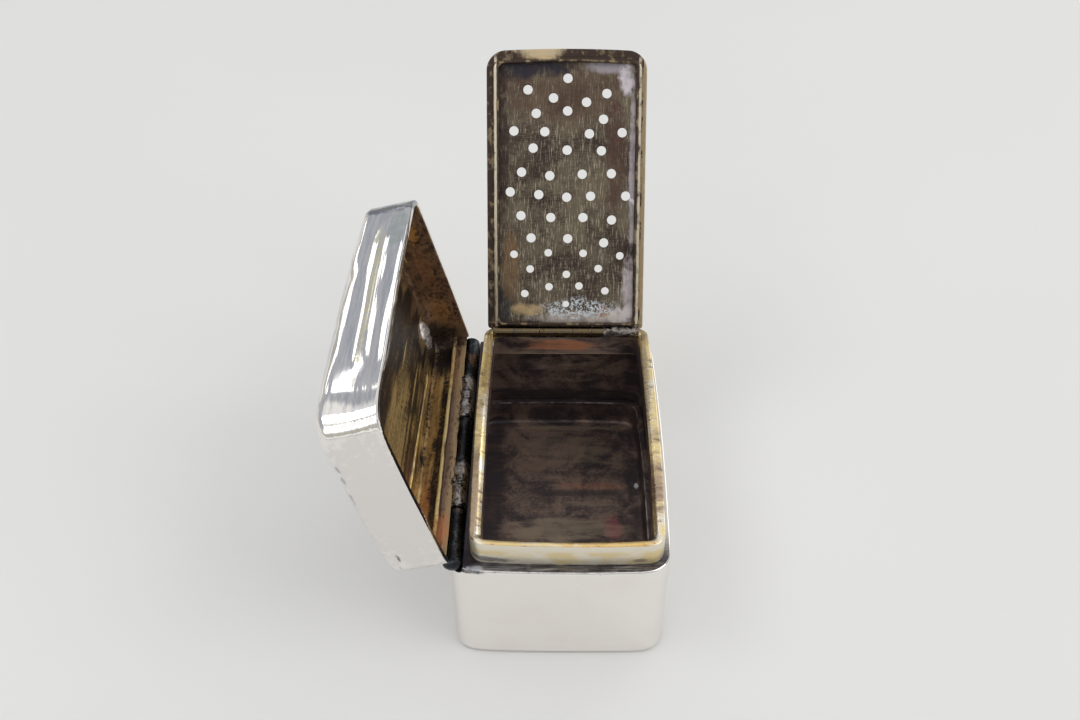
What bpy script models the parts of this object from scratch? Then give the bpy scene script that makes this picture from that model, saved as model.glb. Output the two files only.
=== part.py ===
"""A silver vinaigrette box with its lid and its pierced grille standing open.

Metres, +Z up. The origin is at the middle of the underside. The lid turns on a hinge along the left
long side (-X), and the grille on a hinge along the short back side of the bezel (+Y). The lid's and
the grille's pieces are modelled shut, round the axes that carry them, and two empties turn them open.
"""

import math
from collections import namedtuple

import bmesh
import bpy
from mathutils import Vector

# Body
box_length = 0.0360
box_width = 0.0232
shoulder_height = 0.0147
corner_radius = 0.0025
wall_thickness = 0.0008
foot_radius = 0.0007
side_bow = 0.0004
hinge_side_bow = 0.00017
end_bow = 0.0003
base_thickness = 0.0015
base_fillet = 0.0005
pan_height = 0.0049
pan_wall_thickness = 0.0008
pan_lip_chamfer = 0.00015
shoulder_thickness = 0.0005
shoulder_edge_radius = 0.00025

# Bezel
bezel_height = 0.0031
bezel_thickness = 0.0009
bezel_set_in = 0.00106
bezel_hinge_side_set_in = 0.0025
bezel_corner_radius = 0.0015
bezel_bevel = 0.00045
bezel_edge_radius = 0.00012

# Lid
lid_depth = 0.0056
lid_wall_thickness = 0.0007
lid_top_thickness = 0.0008
lid_edge_radius = 0.0011
lid_rolled_depth = 0.0013
lid_inner_chamfer = 0.0003
lid_seat_gap = 0.00008
lid_open_degrees = 104.0

# Lid hinge
lid_axis_set_in = 0.00048
lid_barrel_radius = 0.0010
lid_barrel_set_in = 0.0008
lid_knuckle_count = 5
lid_knuckle_gap = 0.00008
lid_knuckle_chamfer = 0.00006
lid_pin_radius = 0.00045
plug_head_height = 0.0003
plug_shank_length = 0.0009
lid_stop_degrees = 2.0
bearer_width = 0.0011
lid_bearer_height = 0.0021
lid_bearer_chamfer = 0.00025
body_bearer_height = 0.0016

# Grille
grille_side_set_in = 0.00014
grille_plate_thickness = 0.0005
grille_corner_radius = 0.0013
grille_front_bow = 0.0003
grille_overhang = 0.0002
grille_edge_chamfer = 0.00008
grille_rim_height = 0.0009
grille_rim_side_thickness = 0.00065
grille_rim_end_thickness = 0.0003
grille_rim_corner_radius = 0.0008
grille_rim_round = 0.0001
hole_radius = 0.0006
grille_open_degrees = 122.3

# Grille hinge
grille_axis_drop = 0.00024
grille_barrel_radius = 0.000575
grille_barrel_set_in = 0.00082
grille_middle_knuckle_share = 0.356
grille_knuckle_gap = 0.00006
grille_pin_radius = 0.00028

# Clearances
solder_seam = 0.00002
running_clearance = 0.00005
rim_clearance = 0.00008
barrel_clearance = 0.0001
overrun = 0.0020
least_radius = 0.0001

# The drilled holes, from the free end to the hinge. Each is given by how far along the grille it is,
# counted from the hinge axis, as a share of its length, and by how far to the side, as a share of half
# its width. They were marked out by eye, so no two rows quite agree
hole_shares = (
    (0.903, 0.010), (0.863, -0.487), (0.835, -0.168), (0.820, 0.243),
    (0.850, 0.495), (0.781, -0.383), (0.790, 0.008), (0.761, 0.457),
    (0.720, -0.662), (0.717, -0.276), (0.710, 0.282), (0.715, 0.691),
    (0.660, -0.421), (0.653, 0.004), (0.651, 0.435), (0.575, -0.567),
    (0.562, -0.212), (0.568, 0.196), (0.570, 0.563), (0.505, -0.710),
    (0.495, -0.350), (0.486, 0.003), (0.490, 0.305), (0.491, 0.747),
    (0.420, -0.575), (0.414, -0.197), (0.414, 0.211), (0.405, 0.573),
    (0.340, -0.446), (0.338, 0.020), (0.323, 0.477), (0.280, -0.663),
    (0.286, -0.227), (0.285, 0.217), (0.276, 0.684), (0.227, -0.459),
    (0.208, 0.005), (0.229, 0.411), (0.162, -0.216), (0.165, 0.167),
    (0.137, -0.527), (0.148, 0.500), (0.099, 0.000),
)

# Facets
arc_steps = 6
side_steps = 6
round_steps = 5
barrel_facets = 28
wire_facets = 16
channel_facets = 56
hole_facets = 16
smooth_degrees = 38.0

Plan = namedtuple("Plan", "left right front back radius bow_left bow_right bow_front bow_back")

# The outline of the body and of the lid
body_plan = Plan(
    left=-box_width / 2,
    right=box_width / 2,
    front=-box_length / 2,
    back=box_length / 2,
    radius=corner_radius,
    bow_left=hinge_side_bow,
    bow_right=side_bow,
    bow_front=end_bow,
    bow_back=end_bow,
)

# The outline of the bezel: the back side is straight, because it carries the grille's hinge
bezel_plan = Plan(
    left=body_plan.left + bezel_hinge_side_set_in,
    right=body_plan.right - bezel_set_in,
    front=body_plan.front + bezel_set_in,
    back=body_plan.back - bezel_set_in,
    radius=bezel_corner_radius,
    bow_left=side_bow,
    bow_right=side_bow,
    bow_front=end_bow,
    bow_back=0.0,
)

shoulder_underside = shoulder_height - shoulder_thickness
bezel_foot = shoulder_height + solder_seam
bezel_top = shoulder_height + bezel_height
lid_rim = shoulder_height + lid_seat_gap
lid_crown = shoulder_height + lid_depth

# The lid hinge's axis lies in the plane where the lid meets the shoulder
lid_axis = Vector((body_plan.left + lid_axis_set_in, 0.0, shoulder_height))
half_swing = math.radians((lid_open_degrees + lid_stop_degrees) / 2)
channel_radius = max(
    lid_barrel_radius + running_clearance,
    (lid_axis_set_in + hinge_side_bow) / math.cos(half_swing),
)
lid_barrel_length = box_length - 2 * lid_barrel_set_in

# The grille hinge's axis lies over the middle of the bezel's back strip
bezel_middle = (bezel_plan.left + bezel_plan.right) / 2
grille_axis = Vector(
    (bezel_middle, bezel_plan.back - bezel_thickness / 2, bezel_top - grille_axis_drop)
)
grille_underside = bezel_top + running_clearance
grille_upside = grille_underside + grille_plate_thickness
hinge_seat = grille_axis.z - grille_barrel_radius - running_clearance
grille_width = bezel_plan.right - bezel_plan.left - 2 * grille_side_set_in
grille_barrel_length = bezel_plan.right - bezel_plan.left - 2 * grille_barrel_set_in
grille_plan = Plan(
    left=bezel_middle - grille_width / 2,
    right=bezel_middle + grille_width / 2,
    front=bezel_plan.front - grille_overhang,
    back=grille_axis.y - grille_barrel_radius - barrel_clearance,
    radius=grille_corner_radius,
    bow_left=0.0,
    bow_right=0.0,
    bow_front=grille_front_bow,
    bow_back=0.0,
)

# The strip under the grille: its foot drops inside the bezel, and at the free end it leans out over the
# bezel's bevel to meet the plate
rim_foot_plan = Plan(
    left=bezel_plan.left + bezel_thickness + rim_clearance,
    right=bezel_plan.right - bezel_thickness - rim_clearance,
    front=bezel_plan.front + bezel_thickness + rim_clearance,
    back=grille_plan.back,
    radius=grille_rim_corner_radius,
    bow_left=0.0,
    bow_right=0.0,
    bow_front=end_bow,
    bow_back=0.0,
)
rim_top_plan = rim_foot_plan._replace(front=rim_foot_plan.front - bezel_bevel)
rim_inner_plan = rim_foot_plan._replace(
    left=rim_foot_plan.left + grille_rim_side_thickness,
    right=rim_foot_plan.right - grille_rim_side_thickness,
    front=rim_foot_plan.front + grille_rim_end_thickness,
    back=rim_foot_plan.back - grille_rim_end_thickness,
    radius=grille_rim_corner_radius - grille_rim_end_thickness,
)

finishes = {
    "polished_silver": ((0.86, 0.86, 0.84, 1.0), 0.08, 1.0),
    "worn_gilt": ((0.78, 0.62, 0.34, 1.0), 0.22, 1.0),
    "tarnished_gilt": ((0.33, 0.24, 0.13, 1.0), 0.38, 1.0),
    "dark_tarnish": ((0.07, 0.05, 0.04, 1.0), 0.42, 1.0),
    "blackened_silver": ((0.16, 0.16, 0.17, 1.0), 0.35, 1.0),
    "hinge_wire": ((0.45, 0.44, 0.42, 1.0), 0.30, 1.0),
}


def clear_scene():
    for obj in list(bpy.data.objects):
        bpy.data.objects.remove(obj, do_unlink=True)


def finish(name):
    """The Principled material of this name, made when it is first asked for."""
    material = bpy.data.materials.get(name)
    if material is None:
        colour, roughness, metallic = finishes[name]
        material = bpy.data.materials.new(name)
        material.use_nodes = True
        shader = material.node_tree.nodes["Principled BSDF"]
        shader.inputs["Base Color"].default_value = colour
        shader.inputs["Roughness"].default_value = roughness
        shader.inputs["Metallic"].default_value = metallic
    return material


def inset(plan, by):
    """The plan with every side moved inwards, and its corners kept parallel."""
    return plan._replace(
        left=plan.left + by,
        right=plan.right - by,
        front=plan.front + by,
        back=plan.back - by,
        radius=max(plan.radius - by, least_radius),
    )


def outline(plan, z):
    """Points round a rectangle with rounded corners and bowed sides, counter-clockwise from above."""
    half_x = (plan.right - plan.left) / 2
    half_y = (plan.back - plan.front) / 2
    middle_x = (plan.right + plan.left) / 2
    middle_y = (plan.back + plan.front) / 2
    corners = ((1, 1), (-1, 1), (-1, -1), (1, -1))
    flat = []
    for quarter, (side_x, side_y) in enumerate(corners):
        for step in range(arc_steps + 1):
            turn = math.pi / 2 * (quarter + step / arc_steps)
            x = side_x * (half_x - plan.radius) + plan.radius * math.cos(turn)
            y = side_y * (half_y - plan.radius) + plan.radius * math.sin(turn)
            flat.append((x, y))
    spread = []
    for index, start in enumerate(flat):
        spread.append(start)
        if index % (arc_steps + 1) == arc_steps:
            end = flat[(index + 1) % len(flat)]
            for step in range(1, side_steps):
                share = step / side_steps
                spread.append(tuple(a + (b - a) * share for a, b in zip(start, end)))
    points = []
    for x, y in spread:
        across = x / half_x
        along = y / half_y
        bow_x = plan.bow_right if x > 0 else plan.bow_left
        bow_y = plan.bow_back if y > 0 else plan.bow_front
        points.append(
            Vector(
                (
                    middle_x + x + across * bow_x * (1 - along**2),
                    middle_y + y + along * bow_y * (1 - across**2),
                    z,
                )
            )
        )
    return points


def circle(centre, axis, along, radius, facets):
    """Points round a circle at a distance along a straight axis, which is "X", "Y" or "Z"."""
    points = []
    for step in range(facets):
        turn = math.tau * (step + 1 / 2) / facets
        a = radius * math.cos(turn)
        b = radius * math.sin(turn)
        offset = {"X": (along, a, b), "Y": (b, along, a), "Z": (a, b, along)}[axis]
        points.append(centre + Vector(offset))
    return points


def quarter_round(outer, height, radius, rising):
    """Loops round a quarter arc between an upright outer side and a level face at this height.

    A rising arc ends on the level face; the other kind starts there.
    """
    turns = [math.pi / 2 * step / round_steps for step in range(round_steps + 1)]
    loops = []
    for turn in turns if rising else reversed(turns):
        drop = radius * (1 - math.sin(turn))
        step_in = radius * (1 - math.cos(turn))
        loops.append(outline(inset(outer, step_in), height - drop))
    return loops


def add_object(name, mesh_data, finish_name, carrier, hidden):
    """Puts a mesh in the scene. A carried piece's points are counted from its carrier's axis."""
    bmesh.ops.recalc_face_normals(mesh_data, faces=mesh_data.faces[:])
    if carrier is not None:
        bmesh.ops.translate(mesh_data, verts=mesh_data.verts[:], vec=-carrier.location)
    mesh = bpy.data.meshes.new(name)
    mesh_data.to_mesh(mesh)
    mesh_data.free()
    obj = bpy.data.objects.new(name, mesh)
    bpy.context.scene.collection.objects.link(obj)
    obj.parent = carrier
    if hidden:
        obj.hide_render = True
        obj.display_type = "WIRE"
        return obj
    mesh.materials.append(finish(finish_name))
    mesh.shade_smooth()
    mesh.set_sharp_from_angle(angle=math.radians(smooth_degrees))
    return obj


def loft(name, loops, finish_name=None, carrier=None, ring=False, hidden=False):
    """Skins loops of points. A ring's last loop meets its first; otherwise both ends are capped."""
    mesh_data = bmesh.new()
    rows = [[mesh_data.verts.new(point) for point in loop] for loop in loops]
    pairs = list(zip(rows, rows[1:]))
    if ring:
        pairs.append((rows[-1], rows[0]))
    else:
        mesh_data.faces.new(rows[0][::-1])
        mesh_data.faces.new(rows[-1])
    for lower, upper in pairs:
        for index in range(len(lower)):
            after = (index + 1) % len(lower)
            mesh_data.faces.new((lower[index], lower[after], upper[after], upper[index]))
    return add_object(name, mesh_data, finish_name, carrier, hidden)


def rod(name, centre, axis, start, end, radius, facets, **options):
    """A solid round bar, or a cutter of that shape."""
    loops = [circle(centre, axis, along, radius, facets) for along in (start, end)]
    return loft(name, loops, **options)


def tube(name, centre, axis, start, end, radius, bore, chamfer, **options):
    """A length of tube with its ends' outer edges broken."""
    profile = (
        (radius - chamfer, start),
        (radius, start + chamfer),
        (radius, end - chamfer),
        (radius - chamfer, end),
        (bore, end),
        (bore, start),
    )
    loops = [circle(centre, axis, along, size, barrel_facets) for size, along in profile]
    return loft(name, loops, ring=True, **options)


def block(name, low, high, **options):
    """A squared block between two corners."""
    loops = []
    for z in (low[2], high[2]):
        flat = ((low[0], low[1]), (high[0], low[1]), (high[0], high[1]), (low[0], high[1]))
        loops.append([Vector((x, y, z)) for x, y in flat])
    return loft(name, loops, **options)


def prism(name, profile, axis_point, start, end, **options):
    """A bar along Y with this profile of (x, z) points, counted from a point on an axis."""
    loops = []
    for y in (start, end):
        loops.append([axis_point + Vector((x, y, z)) for x, z in profile])
    return loft(name, loops, **options)


def combine(obj, other, operation):
    modifier = obj.modifiers.new(operation.lower(), "BOOLEAN")
    modifier.operation = operation
    modifier.object = other
    modifier.solver = "EXACT"


def turning_frame(name, place, turn):
    """An empty on a hinge's axis, turned open."""
    frame = bpy.data.objects.new(name, None)
    frame.location = place
    frame.rotation_euler = turn
    bpy.context.scene.collection.objects.link(frame)
    return frame


def make_body(channel):
    """The wall, the pan that closes it, and the shoulder that the lid rests on."""
    inside = inset(body_plan, wall_thickness)
    foot = [
        outline(inset(body_plan, foot_radius * (1 - math.cos(turn))), foot_radius * (1 - math.sin(turn)))
        for turn in (math.pi / 2 * step / round_steps for step in range(round_steps, -1, -1))
    ]
    wall = loft(
        "body_wall",
        foot
        + quarter_round(body_plan, shoulder_height, shoulder_edge_radius, rising=True)
        + [outline(inside, shoulder_height), outline(inside, 0.0)],
        "polished_silver",
        ring=True,
    )
    combine(wall, channel, "DIFFERENCE")

    pan_outside = inset(inside, solder_seam)
    pan_inside = inset(pan_outside, pan_wall_thickness)
    fillet = [
        outline(
            inset(pan_inside, base_fillet * (1 - math.cos(turn))),
            base_thickness + base_fillet * (1 - math.sin(turn)),
        )
        for turn in (math.pi / 2 * step / round_steps for step in range(round_steps + 1))
    ]
    loft(
        "base_pan",
        [
            outline(pan_outside, 0.0),
            outline(pan_outside, pan_height),
            outline(inset(pan_inside, -pan_lip_chamfer), pan_height),
            outline(pan_inside, pan_height - pan_lip_chamfer),
        ]
        + fillet,
        "dark_tarnish",
    )

    opening = inset(bezel_plan, bezel_thickness)
    edge = inset(inside, solder_seam)
    shoulder = loft(
        "shoulder_plate",
        [
            outline(opening, shoulder_underside),
            outline(edge, shoulder_underside),
            outline(edge, shoulder_height),
            outline(opening, shoulder_height),
        ],
        "blackened_silver",
        ring=True,
    )
    combine(shoulder, channel, "DIFFERENCE")

    cavity = loft(
        "body_cavity",
        [
            outline(inset(inside, solder_seam), pan_height),
            outline(inset(inside, solder_seam), shoulder_height),
        ],
        hidden=True,
    )
    bearer_top = shoulder_underside - solder_seam
    bearer = block(
        "body_bearer",
        (body_plan.left, body_plan.front, bearer_top - body_bearer_height),
        (lid_axis.x + channel_radius + bearer_width / 2, body_plan.back, bearer_top),
        finish_name="blackened_silver",
    )
    combine(bearer, cavity, "INTERSECT")
    combine(bearer, channel, "DIFFERENCE")


def make_bezel():
    """The upright strip inside the lid, let down at the back for the grille's hinge."""
    inner = inset(bezel_plan, bezel_thickness)
    bezel = loft(
        "bezel",
        [outline(bezel_plan, bezel_foot)]
        + quarter_round(bezel_plan, bezel_top, bezel_edge_radius, rising=True)
        + [
            outline(inset(bezel_plan, bezel_thickness - bezel_bevel), bezel_top),
            outline(inner, bezel_top - bezel_bevel),
            outline(inner, bezel_foot),
        ],
        "worn_gilt",
        ring=True,
    )
    half_length = grille_barrel_length / 2 + solder_seam
    notch = block(
        "hinge_notch",
        (bezel_middle - half_length, bezel_plan.back - bezel_thickness - overrun, hinge_seat),
        (bezel_middle + half_length, bezel_plan.back + overrun, bezel_top + overrun),
        hidden=True,
    )
    combine(bezel, notch, "DIFFERENCE")


def make_lid(frame, channel):
    """The lid's band, its top with the rolled edge, and the bearer for its knuckles."""
    inside = inset(body_plan, lid_wall_thickness)
    roll_foot = lid_crown - lid_rolled_depth
    band_top = roll_foot - solder_seam
    band = loft(
        "lid_wall",
        [
            outline(body_plan, lid_rim),
            outline(body_plan, band_top),
            outline(inside, band_top),
            outline(inside, lid_rim),
        ],
        "polished_silver",
        frame,
        ring=True,
    )
    combine(band, channel, "DIFFERENCE")

    ceiling = lid_crown - lid_top_thickness
    loft(
        "lid_top",
        [
            outline(inset(inside, lid_inner_chamfer), ceiling),
            outline(inside, ceiling - lid_inner_chamfer),
            outline(inside, roll_foot),
            outline(body_plan, roll_foot),
        ]
        + quarter_round(body_plan, lid_crown, lid_edge_radius, rising=True),
        "polished_silver",
        frame,
    )

    cavity = loft(
        "lid_cavity",
        [
            outline(inset(inside, solder_seam), lid_rim),
            outline(inset(inside, solder_seam), ceiling),
        ],
        carrier=frame,
        hidden=True,
    )
    near = body_plan.left - lid_axis.x
    far = channel_radius + bearer_width / 4
    profile = (
        (near, lid_seat_gap),
        (far, lid_seat_gap),
        (far, lid_bearer_height - lid_bearer_chamfer),
        (far - lid_bearer_chamfer, lid_bearer_height),
        (near, lid_bearer_height),
    )
    bearer = prism(
        "lid_bearer",
        profile,
        lid_axis,
        body_plan.front,
        body_plan.back,
        finish_name="worn_gilt",
        carrier=frame,
    )
    combine(bearer, cavity, "INTERSECT")
    combine(bearer, channel, "DIFFERENCE")


def make_lid_hinge(frame):
    """Five knuckles, three on the body and two on the lid, on one pin with a plug at each end."""
    start = -lid_barrel_length / 2
    pitch = (lid_barrel_length + lid_knuckle_gap) / lid_knuckle_count
    names = ("front", "middle", "back")
    bore = lid_pin_radius + running_clearance
    for index in range(lid_knuckle_count):
        on_lid = index % 2 == 1
        place = names[index - 1] if on_lid else names[index // 2]
        low = start + index * pitch
        tube(
            f"{'lid' if on_lid else 'body'}_knuckle_{place}",
            lid_axis,
            "Y",
            low,
            low + pitch - lid_knuckle_gap,
            lid_barrel_radius,
            bore,
            lid_knuckle_chamfer,
            finish_name="blackened_silver",
            carrier=frame if on_lid else None,
        )

    pin_half = lid_barrel_length / 2 - plug_shank_length - solder_seam
    rod(
        "lid_hinge_pin",
        lid_axis,
        "Y",
        -pin_half,
        pin_half,
        lid_pin_radius,
        wire_facets,
        finish_name="hinge_wire",
    )

    for side, name in ((-1, "hinge_plug_front"), (1, "hinge_plug_back")):
        end = lid_barrel_length / 2
        profile = [(lid_pin_radius, end - plug_shank_length), (lid_pin_radius, end + solder_seam)]
        for step in range(round_steps):
            turn = math.pi / 2 * step / round_steps
            head = end + solder_seam + plug_head_height * math.sin(turn)
            profile.append((lid_barrel_radius * math.cos(turn), head))
        loops = [circle(lid_axis, "Y", side * y, radius, barrel_facets) for radius, y in profile]
        loft(name, loops, "blackened_silver")


def make_grille(frame):
    """The pierced plate, and the strip under it that drops inside the bezel."""
    chamfered = inset(grille_plan, grille_edge_chamfer)
    plate = loft(
        "grille_plate",
        [
            outline(chamfered, grille_underside),
            outline(grille_plan, grille_underside + grille_edge_chamfer),
            outline(grille_plan, grille_upside - grille_edge_chamfer),
            outline(chamfered, grille_upside),
        ],
        "tarnished_gilt",
        frame,
    )
    reach = grille_axis.y - grille_plan.front + grille_front_bow
    cutters = bmesh.new()
    for along_share, across_share in hole_shares:
        centre = Vector(
            (
                bezel_middle + across_share * grille_width / 2,
                grille_axis.y - along_share * reach,
                0.0,
            )
        )
        rows = [
            [cutters.verts.new(point) for point in circle(centre, "Z", z, hole_radius, hole_facets)]
            for z in (grille_underside - overrun, grille_upside + overrun)
        ]
        cutters.faces.new(rows[0][::-1])
        cutters.faces.new(rows[1])
        for index in range(hole_facets):
            after = (index + 1) % hole_facets
            cutters.faces.new((rows[0][index], rows[0][after], rows[1][after], rows[1][index]))
    combine(plate, add_object("drilled_holes", cutters, None, frame, hidden=True), "DIFFERENCE")

    rim_top = grille_underside - solder_seam
    rim_foot = rim_top - grille_rim_height
    loft(
        "grille_rim",
        [
            outline(rim_top_plan, rim_top),
            outline(rim_inner_plan, rim_top),
            outline(rim_inner_plan, rim_foot + grille_rim_round),
            outline(inset(rim_inner_plan, -grille_rim_round), rim_foot),
            outline(inset(rim_foot_plan, grille_rim_round), rim_foot),
            outline(rim_foot_plan, rim_foot + grille_rim_round),
            outline(rim_foot_plan, rim_top - bezel_bevel),
        ],
        "worn_gilt",
        frame,
        ring=True,
    )


def make_grille_hinge(frame):
    """Three knuckles on one pin: the outer two on the bezel, the middle one on the grille."""
    half_length = grille_barrel_length / 2
    half_middle = half_length * grille_middle_knuckle_share
    bore = grille_pin_radius + running_clearance
    spans = (
        ("grille_knuckle_left", -half_length, -half_middle - grille_knuckle_gap, None),
        ("grille_knuckle_right", half_middle + grille_knuckle_gap, half_length, None),
        ("grille_knuckle_middle", -half_middle, half_middle, frame),
    )
    knuckles = {}
    for name, start, end, carrier in spans:
        knuckles[name] = tube(
            name,
            grille_axis,
            "X",
            start,
            end,
            grille_barrel_radius,
            bore,
            grille_knuckle_gap / 2,
            finish_name="worn_gilt",
            carrier=carrier,
        )

    # The strap joins the middle knuckle to the plate. Its heel reaches back over the barrel until it
    # meets the back edge of the bezel's notch, which holds the open grille
    swing = math.radians(grille_open_degrees)
    edge_back = bezel_thickness / 2
    edge_drop = grille_axis.z - hinge_seat
    heel = edge_back * math.cos(swing) + edge_drop * math.sin(swing) - solder_seam
    strap = block(
        "knuckle_strap",
        (
            bezel_middle - half_middle + grille_knuckle_gap,
            grille_plan.back + solder_seam,
            grille_axis.z + (grille_barrel_radius + bore) / 2,
        ),
        (bezel_middle + half_middle - grille_knuckle_gap, grille_axis.y + heel, grille_upside),
        carrier=frame,
        hidden=True,
    )
    combine(knuckles["grille_knuckle_middle"], strap, "UNION")

    rod(
        "grille_hinge_pin",
        grille_axis,
        "X",
        -half_length + solder_seam,
        half_length - solder_seam,
        grille_pin_radius,
        wire_facets,
        finish_name="hinge_wire",
    )


def main():
    clear_scene()
    lid_frame = turning_frame("lid_frame", lid_axis, (0.0, -math.radians(lid_open_degrees), 0.0))
    grille_frame = turning_frame(
        "grille_frame", grille_axis, (-math.radians(grille_open_degrees), 0.0, 0.0)
    )
    half_length = box_length / 2 + end_bow + overrun
    channel = rod(
        "hinge_channel",
        lid_axis,
        "Y",
        -half_length,
        half_length,
        channel_radius,
        channel_facets,
        hidden=True,
    )
    make_body(channel)
    make_bezel()
    make_lid(lid_frame, channel)
    make_lid_hinge(lid_frame)
    make_grille(grille_frame)
    make_grille_hinge(grille_frame)


main()
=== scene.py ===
"""A silver vinaigrette box with its lid and pierced grille open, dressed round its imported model.

Metres, +Z up, in the model's own frame. The lid's and the grille's pieces are made shut, as the
maker would mark them out, and their hinges then turn them open. Materials measure in millimetres.
"""

import logging
import math
import sys
from collections.abc import Callable, Mapping, Sequence
from dataclasses import dataclass, field, replace
from enum import Enum

import bmesh
import bpy
from mathutils import Matrix, Vector, noise

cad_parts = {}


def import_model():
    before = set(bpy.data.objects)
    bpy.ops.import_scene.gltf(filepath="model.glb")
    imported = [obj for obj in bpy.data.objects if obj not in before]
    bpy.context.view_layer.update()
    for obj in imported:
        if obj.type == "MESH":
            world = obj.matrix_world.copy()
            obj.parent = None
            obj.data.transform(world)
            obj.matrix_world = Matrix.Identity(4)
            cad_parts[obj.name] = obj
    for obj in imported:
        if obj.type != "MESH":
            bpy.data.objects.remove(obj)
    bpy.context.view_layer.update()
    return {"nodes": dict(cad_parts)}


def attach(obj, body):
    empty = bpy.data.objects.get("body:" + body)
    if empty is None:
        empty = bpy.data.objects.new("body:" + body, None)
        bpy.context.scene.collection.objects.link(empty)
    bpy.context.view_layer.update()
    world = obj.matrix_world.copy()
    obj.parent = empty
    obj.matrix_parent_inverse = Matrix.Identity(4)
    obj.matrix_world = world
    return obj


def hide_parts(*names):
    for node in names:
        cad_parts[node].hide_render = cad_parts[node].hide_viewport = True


log = logging.getLogger("vinaigrette")

Colour = tuple[float, float, float]
# One ragged patch: centre, half sizes, colour and strength; some are stains, some painted light,
# some painted shade
StainAndPaintedLight = tuple[Colour, Colour, Colour, float]
MM = 0.001
WELD = 1e-7
HALF_BELL = 0.886
MOST_CORNERS_SMOOTHED = 8


class Carrier(Enum):
    """The bodies of the model that pieces ride on."""

    BOX = "body"
    LID = "lid"
    GRILLE = "grille"


class Slot(Enum):
    """The record's material slots, one of which each piece made here names."""

    SILVER = "polished_silver"
    WORN_GILT = "worn_gilt"
    TARNISHED_GILT = "tarnished_gilt"
    DARK = "dark_tarnish"
    BLACK = "blackened_silver"


class Axis(Enum):
    """The direction that a round piece runs in."""

    X = "X"
    Y = "Y"
    Z = "Z"


# Shader graphs


def fill_ramp(ramp: bpy.types.ColorRamp, stops: Sequence[tuple[float, Colour]]) -> None:
    """Gives a colour ramp its stops."""
    while len(ramp.elements) < len(stops):
        ramp.elements.new(1.0)
    for element, (position, colour) in zip(ramp.elements, stops):
        element.position = position
        element.color = (*colour, 1.0)


class Flow:
    """One socket of a shader graph, on which shader maths is written as Python."""

    def __init__(self, graph: "Graph", socket: bpy.types.NodeSocket) -> None:
        """Wraps a socket of the graph."""
        self.graph = graph
        self.socket = socket

    def _math(self, operation: str, first: object, second: object) -> "Flow":
        """Adds one Math node."""
        return self.graph.node("ShaderNodeMath", {0: first, 1: second}, operation=operation)

    def __add__(self, other: object) -> "Flow":
        """self + other"""
        return self._math("ADD", self, other)

    def __radd__(self, other: object) -> "Flow":
        """other + self"""
        return self._math("ADD", other, self)

    def __sub__(self, other: object) -> "Flow":
        """self - other"""
        return self._math("SUBTRACT", self, other)

    def most(self, other: object) -> "Flow":
        """The larger of the two."""
        return self._math("MAXIMUM", self, other)

    def __rsub__(self, other: object) -> "Flow":
        """other - self"""
        return self._math("SUBTRACT", other, self)

    def __mul__(self, other: object) -> "Flow":
        """self * other"""
        return self._math("MULTIPLY", self, other)


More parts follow.
